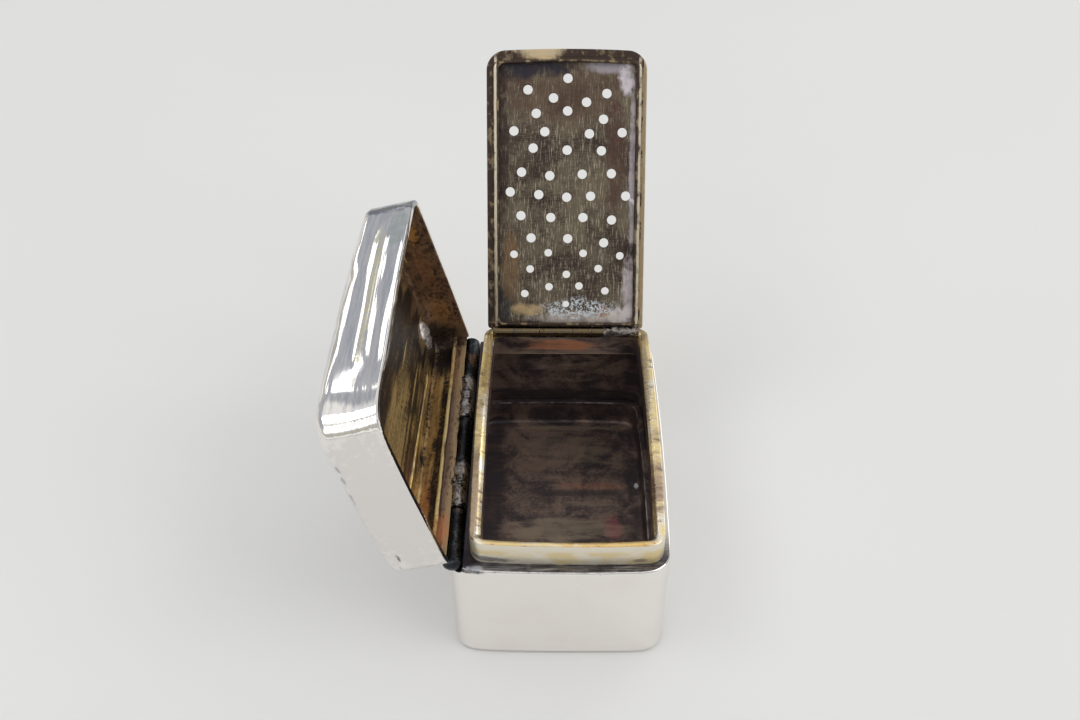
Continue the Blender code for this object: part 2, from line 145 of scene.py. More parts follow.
class Graph:
    """The node graph of one material, measured in millimetres over the piece."""

    def __init__(self, name: str) -> None:
        """Starts a material with one Principled shader.

        Args:
            name: the material's name.
        """
        self.material = bpy.data.materials.new(name)
        self.material.use_nodes = True
        self.tree = self.material.node_tree
        self.shader = self.tree.nodes["Principled BSDF"]
        metres = self.node("ShaderNodeTexCoord", output="Object")
        self.place = self.node(
            "ShaderNodeVectorMath", {0: metres, 3: 1 / MM}, operation="SCALE"
        )

    def node(
        self,
        kind: str,
        inputs: Mapping[int | str, object] | None = None,
        output: int | str = 0,
        stops: Sequence[tuple[float, Colour]] = (),
        **settings: object,
    ) -> Flow:
        """Adds any node.

        Args:
            kind: the node's type.
            inputs: a value, a vector or a Flow for each socket, by its index or name.
            output: the socket that is wanted, by its index or name.
            stops: a colour ramp's stops.
            settings: the node's own settings.

        Returns:
            The wanted output.
        """
        made = self.tree.nodes.new(kind)
        for setting, value in settings.items():
            setattr(made, setting, value)
        if stops:
            fill_ramp(made.color_ramp, stops)
        for key, value in (inputs or {}).items():
            self._feed(made.inputs[key], value)
        return Flow(self, made.outputs[output])

    def _feed(self, socket: bpy.types.NodeSocket, value: object) -> None:
        """Links a Flow to a socket, or sets its value."""
        if isinstance(value, Flow):
            self.tree.links.new(value.socket, socket)
        elif isinstance(value, tuple) and socket.type == "RGBA":
            socket.default_value = (*value, 1.0)
        else:
            socket.default_value = value

    def grain(
        self,
        scale: float,
        stretch: Colour = (1.0, 1.0, 1.0),
        seed: float = 0.0,
        detail: float = 4.0,
        roughness: float = 0.55,
        distortion: float = 0.0,
    ) -> Flow:
        """Noise from 0 to 1.

        Args:
            scale: marks to a millimetre.
            stretch: how much finer it runs along x, y and z.
            seed: shifts it, so that two grains differ.
            detail: how many finer layers it has.
            roughness: how strong the finer layers are.
            distortion: how much it curls.

        Returns:
            The noise.
        """
        vector = self.node(
            "ShaderNodeVectorMath",
            {0: self.place, 1: stretch, 2: (seed * 7.3, seed * 3.1, seed * 5.7)},
            operation="MULTIPLY_ADD",
        )
        return self.node(
            "ShaderNodeTexNoise",
            {
                "Vector": vector,
                "Scale": scale,
                "Detail": detail,
                "Roughness": roughness,
                "Distortion": distortion,
            },
        )

    def ease(self, value: Flow, low: float, high: float) -> Flow:
        """0 where value is at low, 1 where it is at high, and smooth between them."""
        return self.node(
            "ShaderNodeMapRange",
            {0: value, 1: low, 2: high, 3: 0.0, 4: 1.0},
            interpolation_type="SMOOTHSTEP",
        )

    def part(self, name: str) -> Flow:
        """One coordinate of the place, in millimetres: "X", "Y" or "Z"."""
        return self.node("ShaderNodeSeparateXYZ", {0: self.place}, output=name)

    def band(self, value: Flow, low: float, high: float, soft: float) -> Flow:
        """1 where value is between low and high, and fading over soft outside."""
        return self.ease(value, low - soft, low) * (1 - self.ease(value, high, high + soft))

    def patch(self, centre: Colour, radii: Colour, ragged: Flow) -> Flow:
        """A ragged oval patch.

        Args:
            centre: its middle, in millimetres.
            radii: its half sizes along x, y and z.
            ragged: the noise that tears its edge.

        Returns:
            1 inside the patch, 0 outside.
        """
        away = self.node("ShaderNodeVectorMath", {0: self.place, 1: centre}, operation="SUBTRACT")
        scaled = self.node("ShaderNodeVectorMath", {0: away, 1: radii}, operation="DIVIDE")
        distance = self.node("ShaderNodeVectorMath", {0: scaled}, output=1, operation="LENGTH")
        return self.ease(1.35 - distance + (ragged - 0.5) * 1.8, 0.0, 0.75)

    def stain(self, colour: Flow, stains_and_painted_light: Sequence[StainAndPaintedLight], ragged: Flow) -> Flow:
        """Lays ragged patches over a colour, stains and painted light and shade alike, thinner
        where the noise runs low.

        Args:
            colour: what they lie on.
            stains_and_painted_light: the patches.
            ragged: the noise that tears them.

        Returns:
            The stained colour.
        """
        thin = 0.6 + self.ease(ragged, 0.36, 0.58) * 0.4
        for centre, radii, tint, strength in stains_and_painted_light:
            share = self.patch(centre, radii, ragged) * strength
            colour = self.mix(colour, tint, share * thin)
        return colour

    def mix(self, first: object, second: object, share: object) -> Flow:
        """A colour between two colours."""
        return self.node(
            "ShaderNodeMix", {0: share, 6: first, 7: second}, output=2, data_type="RGBA"
        )

    def ramp(self, value: Flow, *stops: tuple[float, Colour]) -> Flow:
        """A colour picked from stops by a value."""
        return self.node("ShaderNodeValToRGB", {0: value}, stops=stops)

    def bump(self, height: Flow, depth: float) -> Flow:
        """A normal for a height from 0 to 1, depth metres deep."""
        return self.node("ShaderNodeBump", {"Height": height, "Strength": 1.0, "Distance": depth})

    def dress(self, **sockets: object) -> bpy.types.Material:
        """Sets the shader's sockets and hands over the material.

        Args:
            sockets: a value or a Flow for each, named with _ for a space.

        Returns:
            The finished material.
        """
        for name, value in sockets.items():
            self._feed(self.shader.inputs[name.replace("_", " ")], value)
        return self.material


# Finishes


@dataclass(frozen=True)
class PolishedSilver:
    """Silver polished bright by hand, with ripples, hairlines and freckles, and grey streaks
    painted along the free side as reflections.
    """

    name: str = "polished silver"
    ripple: Colour = (0.25, 0.05, 0.7)
    ripple_depth: float = 0.00006
    clean: Colour = (0.91, 0.875, 0.84)
    yellowed: Colour = (0.86, 0.81, 0.74)
    freckle: Colour = (0.30, 0.27, 0.25)
    painted_reflection_grey: Colour = (0.62, 0.62, 0.66)
    stains_and_painted_light: tuple[StainAndPaintedLight, ...] = ()
    dull: tuple[Colour, Colour] = ((0.0, 0.0, -90.0), (1.0, 1.0, 1.0))
    streaks: float = 0.0

    def make(self) -> bpy.types.Material:
        """The material."""
        graph = Graph(self.name)
        ripples = graph.grain(1.0, self.ripple, seed=1.0, detail=2.0)
        hairlines = graph.grain(5.0, (0.25, 0.25, 3.0), seed=2.0, detail=5.0)
        cloud = graph.grain(0.22, seed=3.0)
        freckles = graph.ease(graph.grain(1.9, seed=4.0, detail=6.0), 0.70, 0.76)
        colour = graph.mix(self.clean, self.yellowed, graph.ease(cloud, 0.45, 0.8) * 0.5)
        torn = graph.grain(1.2, seed=40.0, detail=6.0)
        # grey streaks painted along the free side, standing in for streaky reflections of the room
        lines = graph.grain(1.6, (1.0, 0.14, 1.5), seed=46.0, detail=6.0)
        painted_light_and_smudge = graph.ease(lines, 0.42, 0.62) * graph.ease(graph.part("X"), 10.4, 11.4)
        colour = graph.mix(colour, self.painted_reflection_grey, painted_light_and_smudge * self.streaks)
        colour = graph.stain(colour, self.stains_and_painted_light, torn)
        dull = graph.patch(*self.dull, torn) * 0.13
        return graph.dress(
            Base_Color=graph.mix(colour, self.freckle, freckles * 0.8),
            Metallic=1.0,
            Roughness=0.045 + graph.ease(cloud, 0.3, 0.8) * 0.06 + freckles * 0.25 + dull,
            Normal=graph.bump(ripples + hairlines * 0.05, self.ripple_depth),
        )


@dataclass(frozen=True)
class BlackenedSilver:
    """Silver gone nearly black, blue in the light and rubbed bright on the high spots."""

    name: str = "blackened silver"
    dark: Colour = (0.025, 0.026, 0.030)
    middle: Colour = (0.13, 0.135, 0.15)
    rubbed: Colour = (0.62, 0.62, 0.64)
    bright_share: float = 0.35
    roughness: float = 0.26

    def make(self) -> bpy.types.Material:
        """The material."""
        graph = Graph(self.name)
        cloud = graph.grain(0.55, seed=5.0, detail=6.0, distortion=0.4)
        fine = graph.grain(3.2, seed=6.0, detail=5.0)
        colour = graph.mix(self.dark, self.middle, graph.ease(cloud, 0.38, 0.68))
        rubbed = graph.ease(cloud * 0.6 + fine * 0.4, 0.60, 0.74) * self.bright_share
        return graph.dress(
            Base_Color=graph.mix(colour, self.rubbed, rubbed),
            Metallic=1.0,
            Roughness=self.roughness + fine * 0.16 - rubbed * 0.1,
            Normal=graph.bump(fine + cloud, 0.00002),
        )


@dataclass(frozen=True)
class LedgeFinish:
    """The shoulder's ledge: grey and streaky, blacker by the hinge in tarnish and painted shade,
    pale along the free side as a painted reflection.
    """

    name: str = "ledge"
    dark: Colour = (0.06, 0.055, 0.06)
    grey: Colour = (0.26, 0.25, 0.27)
    # the colour of the painted reflection along the free side
    pale: Colour = (0.74, 0.71, 0.65)
    light: Colour = (0.72, 0.71, 0.72)
    stains_and_painted_light: tuple[StainAndPaintedLight, ...] = (
        # Next: painted shade with tarnish, where the ledge runs between the barrel's front end and
        # the bezel
        ((-9.6, -16.2, 14.7), (1.5, 1.5, 1.0), (0.035, 0.028, 0.036), 0.9),
        # Next: a painted bluish highlight along the front edge by the hinge
        ((-8.9, -17.75, 14.7), (0.8, 0.35, 1.0), (0.62, 0.66, 0.78), 0.9),
        ((10.6, -16.4, 14.7), (0.8, 1.0, 1.0), (0.10, 0.085, 0.08), 0.7),
    )

    def make(self) -> bpy.types.Material:
        """The material."""
        graph = Graph(self.name)
        cloud = graph.grain(0.6, seed=5.0, detail=6.0, distortion=0.4)
        lines = graph.grain(2.2, (0.2, 3.0, 1.0), seed=32.0, detail=5.0)
        across = graph.part("X") + (cloud - 0.5) * 1.5
        colour = graph.mix(self.dark, self.grey, graph.ease(lines * 0.6 + cloud * 0.4, 0.40, 0.62))
        colour = graph.mix(colour, self.light, graph.ease(lines, 0.60, 0.72) * 0.5)
        # painted reflection: the free side is made pale, as the ledge there mirrors the bezel and
        # the bright room
        free = graph.ease(across, 9.7, 10.5) * graph.ease(graph.part("Y"), -16.2, -12.0)
        colour = graph.mix(colour, self.pale, free)
        # painted shade with tarnish on the strip between the hinge barrel and the bezel
        colour = graph.mix(colour, self.dark, 1 - graph.ease(across, -9.6, -8.8))
        colour = graph.stain(colour, self.stains_and_painted_light, cloud)
        return graph.dress(
            Base_Color=colour,
            Metallic=0.85,
            Roughness=0.28 + cloud * 0.15,
            Normal=graph.bump(lines + cloud, 0.00003),
        )


@dataclass(frozen=True)
class LeadSolder:
    """Grey repair solder, lumpy, with darker pits."""

    name: str = "lead solder"
    light: Colour = (0.50, 0.47, 0.47)
    dark: Colour = (0.10, 0.095, 0.10)

    def make(self) -> bpy.types.Material:
        """The material."""
        graph = Graph(self.name)
        lumps = graph.grain(1.6, seed=7.0, detail=6.0, roughness=0.65)
        return graph.dress(
            Base_Color=graph.mix(self.dark, self.light, graph.ease(lumps, 0.36, 0.60)),
            Metallic=0.85,
            Roughness=0.36 + lumps * 0.2,
            Normal=graph.bump(lumps, 0.00012),
        )


@dataclass(frozen=True)
class HingeBarrel:
    """A hinge knuckle's blue-black tube, with grey solder run over part of it."""

    name: str
    solder_from: float = 0.0
    solder_to: float = 0.0
    dark: Colour = (0.022, 0.024, 0.028)
    middle: Colour = (0.15, 0.16, 0.18)
    rust: Colour = (0.17, 0.095, 0.060)
    solder: Colour = (0.44, 0.405, 0.39)

    def make(self) -> bpy.types.Material:
        """The material."""
        graph = Graph(self.name)
        cloud = graph.grain(0.7, (1.0, 0.6, 1.0), seed=8.0, detail=6.0)
        fine = graph.grain(2.6, seed=9.0, detail=6.0, roughness=0.65)
        colour = graph.mix(self.dark, self.middle, graph.ease(cloud, 0.46, 0.72))
        rust = graph.grain(0.5, (1.6, 0.5, 1.6), seed=44.0, detail=6.0)
        rust = graph.ease(rust, 0.53, 0.63) * graph.ease(graph.part("Y"), -12.5, -9.0)
        colour = graph.mix(colour, self.rust, rust * 0.8)
        rough = 0.20 + fine * 0.15
        if self.solder_to > self.solder_from:
            along = graph.part("Y") + (cloud - 0.5) * 3.6 + (fine - 0.5) * 2.0
            run = graph.band(along, self.solder_from, self.solder_to, 0.3)
            run = run * graph.ease(fine * 0.6 + cloud * 0.4, 0.42, 0.52)
            colour = graph.mix(colour, self.solder, run)
            rough = rough + run * 0.22
        return graph.dress(
            Base_Color=colour,
            Metallic=1.0,
            Roughness=rough,
            Normal=graph.bump(fine + cloud, 0.00005),
        )


@dataclass(frozen=True)
class WornGilt:
    """Gilding rubbed thin: pale gold, silver showing through, and brown in the hollows."""

    name: str = "worn gilt"
    gold: Colour = (0.88, 0.70, 0.38)
    bare: Colour = (0.86, 0.80, 0.70)
    brown: Colour = (0.16, 0.105, 0.055)
    bare_share: float = 0.7
    brown_share: float = 0.8
    along: Colour = (1.0, 0.35, 1.0)
    roughness: float = 0.20

    def make(self) -> bpy.types.Material:
        """The material."""
        graph = Graph(self.name)
        cloud = graph.grain(0.45, self.along, seed=10.0, detail=5.0)
        stain = graph.grain(0.8, self.along, seed=11.0, detail=7.0, roughness=0.6)
        fine = graph.grain(4.0, seed=12.0, detail=5.0)
        colour = graph.mix(self.gold, self.bare, graph.ease(cloud, 0.42, 0.66) * self.bare_share)
        stained = graph.ease(stain, 0.54, 0.72) * self.brown_share
        return graph.dress(
            Base_Color=graph.mix(colour, self.brown, stained),
            Metallic=1.0,
            Roughness=self.roughness + stained * 0.2 + fine * 0.08,
            Normal=graph.bump(cloud + fine * 0.25, 0.00004),
        )


@dataclass(frozen=True)
class BezelEdge:
    """The bezel's rubbed top and bevel: tan by the hinge, pale gold elsewhere, and nicked."""

    name: str = "bezel edge"
    tan: Colour = (0.34, 0.255, 0.16)
    gold: Colour = (0.97, 0.78, 0.42)
    white: Colour = (0.98, 0.94, 0.86)
    brown: Colour = (0.25, 0.17, 0.11)
    stains_and_painted_light: tuple[StainAndPaintedLight, ...] = (
        ((10.5, -8.5, 17.8), (0.9, 4.2, 1.0), (0.40, 0.29, 0.23), 0.9),
        ((10.6, -1.5, 17.8), (0.9, 1.3, 1.0), (0.50, 0.38, 0.24), 0.7),
        ((-9.0, -11.5, 17.8), (0.8, 5.0, 1.0), (0.50, 0.38, 0.27), 0.9),
        ((5.0, -16.7, 17.7), (5.0, 0.8, 1.0), (0.90, 0.58, 0.20), 0.9),
        ((-4.5, -16.7, 17.7), (3.6, 0.8, 1.0), (0.92, 0.68, 0.32), 0.8),
        ((0.7, 16.9, 17.4), (12.0, 0.9, 1.2), (0.09, 0.06, 0.045), 1.0),
        ((-9.4, 10.5, 17.8), (0.5, 5.5, 1.0), (0.42, 0.31, 0.15), 0.95),
        ((-8.9, 9.0, 17.8), (0.8, 5.0, 1.0), (0.88, 0.65, 0.26), 0.85),
        ((-9.5, 3.0, 17.8), (0.6, 6.5, 1.0), (0.52, 0.39, 0.20), 0.95),
        ((10.3, 7.0, 17.8), (0.5, 7.5, 1.0), (1.0, 0.92, 0.72), 0.6),
        ((-9.0, 16.3, 17.8), (0.9, 1.1, 1.0), (0.26, 0.18, 0.10), 0.8),
        ((10.7, 15.9, 17.8), (0.7, 2.2, 1.0), (0.42, 0.33, 0.22), 0.75),
    )

    def make(self) -> bpy.types.Material:
        """The material."""
        graph = Graph(self.name)
        cloud = graph.grain(0.5, (1.0, 0.5, 1.0), seed=10.0, detail=5.0)
        nicks = graph.grain(0.9, (0.7, 1.6, 1.0), seed=11.0, detail=6.0, roughness=0.58)
        fine = graph.grain(3.0, seed=12.0, detail=4.0)
        across = graph.part("X") + (nicks - 0.5) * 0.6
        colour = graph.mix(self.gold, self.white, graph.ease(cloud, 0.47, 0.62) * 0.85)
        outer = graph.ease(across, -8.75, -8.95) * (1 - graph.ease(graph.part("Y"), -5.0, -1.0))
        colour = graph.mix(colour, self.tan, outer)
        colour = graph.stain(colour, self.stains_and_painted_light, nicks)
        marks = graph.ease(nicks * 0.8 + fine * 0.2, 0.56, 0.64) * 0.7
        return graph.dress(
            Base_Color=graph.mix(colour, self.brown, marks),
            Metallic=0.9,
            Roughness=0.20 + marks * 0.25 + fine * 0.06,
            Normal=graph.bump(nicks + fine * 0.1, 0.00003),
        )


@dataclass(frozen=True)
class BearerFace:
    """The strip inside the lid's hinge side: a painted gold highlight along its filed edge, a
    painted dark line of shade under it, over purple-brown and tan bands.
    """

    name: str = "bearer face"
    # the colour of the painted highlight on the filed edge
    gold: Colour = (1.0, 0.82, 0.40)
    tan: Colour = (0.37, 0.255, 0.14)
    mauve: Colour = (0.27, 0.175, 0.125)
    dark: Colour = (0.07, 0.045, 0.035)
    stains_and_painted_light: tuple[StainAndPaintedLight, ...] = (
        ((-9.8, -13.6, 15.9), (1.0, 2.4, 0.9), (0.62, 0.24, 0.10), 0.8),
        ((-9.8, 12.0, 16.2), (1.0, 4.6, 0.9), (0.50, 0.30, 0.13), 0.6),
        ((-9.8, 16.9, 16.0), (1.4, 1.3, 1.4), (0.05, 0.04, 0.035), 0.9),
    )

    def make(self) -> bpy.types.Material:
        """The material."""
        graph = Graph(self.name)
        long = graph.grain(1.1, (1.4, 0.16, 1.6), seed=41.0, detail=6.0, roughness=0.6)
        fine = graph.grain(3.2, (1.0, 0.5, 1.0), seed=42.0, detail=6.0)
        height = graph.part("Z") + (long - 0.5) * 0.5
        colour = graph.mix(self.tan, self.mauve, graph.ease(height, 15.45, 15.75))
        # a painted dark line of shade just under the filed edge
        colour = graph.mix(colour, self.dark, graph.band(height, 16.15, 16.25, 0.12) * 0.7)
        # painted highlight: the filed edge is made bright gold and less metallic
        bright = graph.ease(height, 16.24, 16.32) * graph.ease(long, 0.34, 0.42)
        colour = graph.mix(colour, self.gold, bright)
        colour = graph.stain(colour, self.stains_and_painted_light, fine)
        marks = graph.ease(long * 0.5 + fine * 0.5, 0.51, 0.62) * (0.85 - bright * 0.5)
        return graph.dress(
            Base_Color=graph.mix(colour, self.dark, marks),
            Metallic=0.7 - bright * 0.45,
            Roughness=0.24 + fine * 0.2,
            Normal=graph.bump(long + fine * 0.5, 0.00005),
        )


@dataclass(frozen=True)
class BezelFace:
    """The bezel's outside: pale gilt, with painted shade along its foot where it meets the ledge,
    and dark smudges and spots.
    """

    name: str = "bezel face"
    pale: Colour = (0.80, 0.74, 0.62)
    # the colour of the painted shade at the foot and of the smudges
    gold: Colour = (0.74, 0.60, 0.32)
    painted_light_and_smudge: Colour = (0.10, 0.095, 0.10)

    def make(self) -> bpy.types.Material:
        """The material."""
        graph = Graph(self.name)
        cloud = graph.grain(0.3, (1.0, 1.0, 1.6), seed=13.0)
        stain = graph.grain(0.9, (1.0, 1.0, 1.6), seed=14.0, detail=7.0)
        height = graph.part("Z")
        # painted shade along the foot, where the bezel meets the ledge
        foot = 1 - graph.ease(height + (stain - 0.5) * 0.5, 14.72, 14.95)
        smudge = graph.patch((-7.2, -16.9, 15.4), (2.2, 1.5, 0.40), stain)
        spot = graph.patch((8.3, -16.9, 15.4), (0.7, 1.5, 0.25), stain)
        spots = graph.ease(graph.grain(1.3, seed=15.0, detail=6.0), 0.68, 0.74)
        dark = graph.node(
            "ShaderNodeClamp", {0: foot * 0.8 + smudge * 0.75 + spot * 0.6 + spots * 0.3}
        )
        golden = graph.ease(cloud, 0.38, 0.60) * graph.band(height, 15.2, 16.4, 0.8)
        colour = graph.mix(self.pale, self.gold, golden)
        return graph.dress(
            Base_Color=graph.mix(colour, self.painted_light_and_smudge, dark),
            Metallic=0.55,
            Roughness=0.30 + dark * 0.1,
            Normal=graph.bump(cloud, 0.00005),
        )


@dataclass(frozen=True)
class DarkLining:
    """The inside of the box: old gilding gone dark brown, with black, coppery and olive patches."""

    name: str = "dark lining"
    black: Colour = (0.055, 0.042, 0.046)
    brown: Colour = (0.27, 0.185, 0.145)
    olive: Colour = (0.36, 0.28, 0.20)
    copper: Colour = (0.78, 0.30, 0.15)
    rose: Colour = (0.46, 0.14, 0.15)

    def make(self) -> bpy.types.Material:
        """The material."""
        graph = Graph(self.name)
        cloud = graph.grain(0.26, seed=16.0, detail=6.0, distortion=0.8)
        streaks = graph.grain(0.8, (0.35, 1.5, 1.5), seed=17.0, detail=7.0, roughness=0.6)
        fine = graph.grain(2.4, seed=18.0, detail=7.0, roughness=0.65)
        tone = graph.ease(cloud * 0.56 + streaks * 0.16 + fine * 0.28, 0.40, 0.60)
        colour = graph.stain(graph.mix(self.black, self.brown, tone), self._patches(), streaks)
        return graph.dress(
            Base_Color=colour,
            Metallic=0.35,
            Roughness=0.42 - tone * 0.1 + fine * 0.12,
            Normal=graph.bump(fine * 0.5 + cloud, 0.00004),
        )

    def _patches(self) -> tuple[StainAndPaintedLight, ...]:
        """Where it is blackest, and where the gilding shows through: back, right, then floor, with
        a painted shadow and a painted highlight on the back.
        """
        return (
            ((1.0, 16.1, 12.0), (7.0, 1.2, 5.5), (0.46, 0.34, 0.28), 0.8),
            # Next: painted shadow on the back wall, just above the pan
            ((1.0, 17.3, 5.6), (14.0, 1.4, 1.3), self.black, 1.0),
            ((9.7, 4.0, 9.0), (1.6, 22.0, 8.0), self.black, 1.0),
            # Next: a painted highlight along the lower edge of the shoulder's opening
            ((1.5, 16.05, 14.24), (7.4, 0.5, 0.10), (0.62, 0.46, 0.30), 0.9),
            ((-0.4, 16.1, 15.7), (4.6, 1.2, 0.75), self.copper, 0.85),
            ((4.2, 5.2, 1.5), (3.4, 0.6, 0.9), self.copper, 0.22),
            ((2.5, 3.9, 1.5), (6.0, 0.5, 0.9), self.black, 0.8),
            ((2.0, 2.2, 1.5), (4.0, 0.35, 0.9), self.olive, 0.35),
            ((6.6, -1.8, 1.5), (1.0, 1.7, 0.9), self.rose, 0.8),
            ((0.5, -1.8, 1.5), (6.6, 1.6, 0.9), self.olive, 0.7),
            ((1.0, 11.5, 1.5), (5.0, 2.6, 0.9), self.olive, 0.35),
            ((0.5, 15.3, 1.6), (7.5, 0.35, 0.6), self.olive, 0.7),
            ((-8.4, 3.0, 1.5), (1.6, 16.0, 0.9), self.black, 1.0),
            ((0.5, 17.0, 3.4), (14.0, 1.2, 0.9), self.black, 0.5),
            ((9.75, 5.2, 1.9), (0.25, 0.45, 0.9), (0.80, 0.78, 0.78), 0.95),
        )


@dataclass(frozen=True)
class LidLining:
    """The lid's inside: old gilding gone brown and black in streaks, with gold left in places."""

    name: str = "lid lining"
    black: Colour = (0.045, 0.036, 0.034)
    umber: Colour = (0.43, 0.275, 0.12)
    olive: Colour = (0.74, 0.55, 0.24)
    gold: Colour = (0.98, 0.72, 0.28)
    orange: Colour = (0.85, 0.45, 0.14)
    copper: Colour = (0.66, 0.27, 0.12)
    rust: Colour = (0.29, 0.175, 0.115)
    ochre: Colour = (0.38, 0.25, 0.14)

    def make(self) -> bpy.types.Material:
        """The material."""
        graph = Graph(self.name)
        cloud = graph.grain(0.32, (1.2, 0.5, 1.2), seed=19.0, detail=6.0, distortion=0.6)
        long = graph.grain(1.3, (1.6, 0.14, 1.6), seed=20.0, detail=6.0, roughness=0.6)
        cross = graph.grain(1.3, (0.16, 1.6, 1.2), seed=31.0, detail=6.0, roughness=0.6)
        fine = graph.grain(2.4, seed=21.0, detail=7.0, roughness=0.62)
        on_end = graph.ease(graph.part("Y"), 16.9, 17.1)
        streaks = graph.node("ShaderNodeMix", {0: on_end, 2: long, 3: cross})
        tone = graph.ease(cloud * 0.42 + streaks * 0.36 + fine * 0.22, 0.42, 0.58)
        colour = graph.ramp(
            tone, (0.0, self.black), (0.22, self.black), (0.52, self.umber), (0.72, self.umber),
            (1.0, self.olive),
        )
        soft = graph.ease(cloud * 0.3 + streaks * 0.25 + fine * 0.45, 0.38, 0.60)
        rusty = graph.ramp(soft, (0.0, self.black), (0.40, self.rust), (1.0, self.ochre))
        mottles = graph.ease(graph.grain(0.8, seed=47.0, detail=7.0, roughness=0.66), 0.50, 0.60)
        rusty = graph.mix(rusty, self.black, mottles * 0.6)
        colour = graph.stain(graph.mix(colour, rusty, on_end), self._patches(), fine)
        pits = graph.ease(graph.grain(4.5, seed=43.0, detail=4.0), 0.62, 0.70)
        return graph.dress(
            Base_Color=graph.mix(colour, self.black, pits * 0.5),
            Metallic=0.65,
            Roughness=0.22 + fine * 0.2,
            Normal=graph.bump(streaks + fine * 0.6, 0.00007),
        )

    def _patches(self) -> tuple[StainAndPaintedLight, ...]:
        """Where it is blackest and where gold is left: the ceiling, the hinge side, the far end,
        with painted shadow on the hinge side above the bearer.
        """
        return (
            ((-4.2, -8.0, 19.5), (2.4, 8.5, 0.8), self.olive, 0.75),
            ((-3.2, 3.0, 19.5), (1.6, 2.6, 0.8), self.olive, 0.6),
            ((3.0, -3.0, 19.5), (0.8, 9.0, 0.8), self.olive, 0.5),
            ((8.6, -4.0, 19.5), (2.6, 14.0, 2.6), self.black, 0.75),
            ((-7.6, -9.0, 19.5), (1.4, 7.0, 0.8), self.copper, 0.4),
            ((0.9, -4.0, 19.5), (1.3, 14.0, 0.8), self.black, 1.0),
            ((-0.6, 10.0, 19.5), (5.2, 5.6, 0.8), self.black, 1.0),
            ((-6.2, 5.6, 19.5), (0.20, 3.4, 0.8), self.gold, 1.0),
            ((-5.75, 0.0, 19.5), (0.22, 11.0, 0.8), self.black, 1.0),
            ((-2.2, 6.8, 19.5), (0.16, 2.4, 0.8), self.gold, 0.9),
            ((-6.75, -3.0, 19.5), (0.34, 13.0, 0.8), self.black, 1.0),
            ((-6.25, -11.0, 19.5), (0.20, 3.0, 0.8), self.gold, 0.8),
            ((-8.0, -2.0, 19.5), (0.30, 12.0, 0.8), self.black, 0.8),
            ((-10.9, 4.5, 18.8), (0.6, 9.0, 0.5), (0.50, 0.33, 0.14), 0.8),
            ((-10.9, -10.5, 18.5), (0.6, 5.5, 0.7), self.copper, 0.6),
            # Next: painted shadow on the hinge side, just above the bearer's edge
            ((-10.9, -2.0, 17.55), (0.6, 18.0, 0.42), self.black, 1.0),
            ((6.8, 17.3, 16.9), (1.7, 0.9, 0.9), self.orange, 0.8),
            ((1.0, 17.3, 17.0), (3.6, 0.9, 1.2), self.copper, 0.35),
            ((-5.4, 17.3, 17.2), (2.6, 0.9, 1.4), self.orange, 0.35),
            ((4.0, 17.3, 18.75), (1.8, 0.9, 0.10), self.gold, 0.95),
            ((-9.4, 15.6, 18.2), (2.6, 3.4, 2.4), self.black, 1.0),
        )


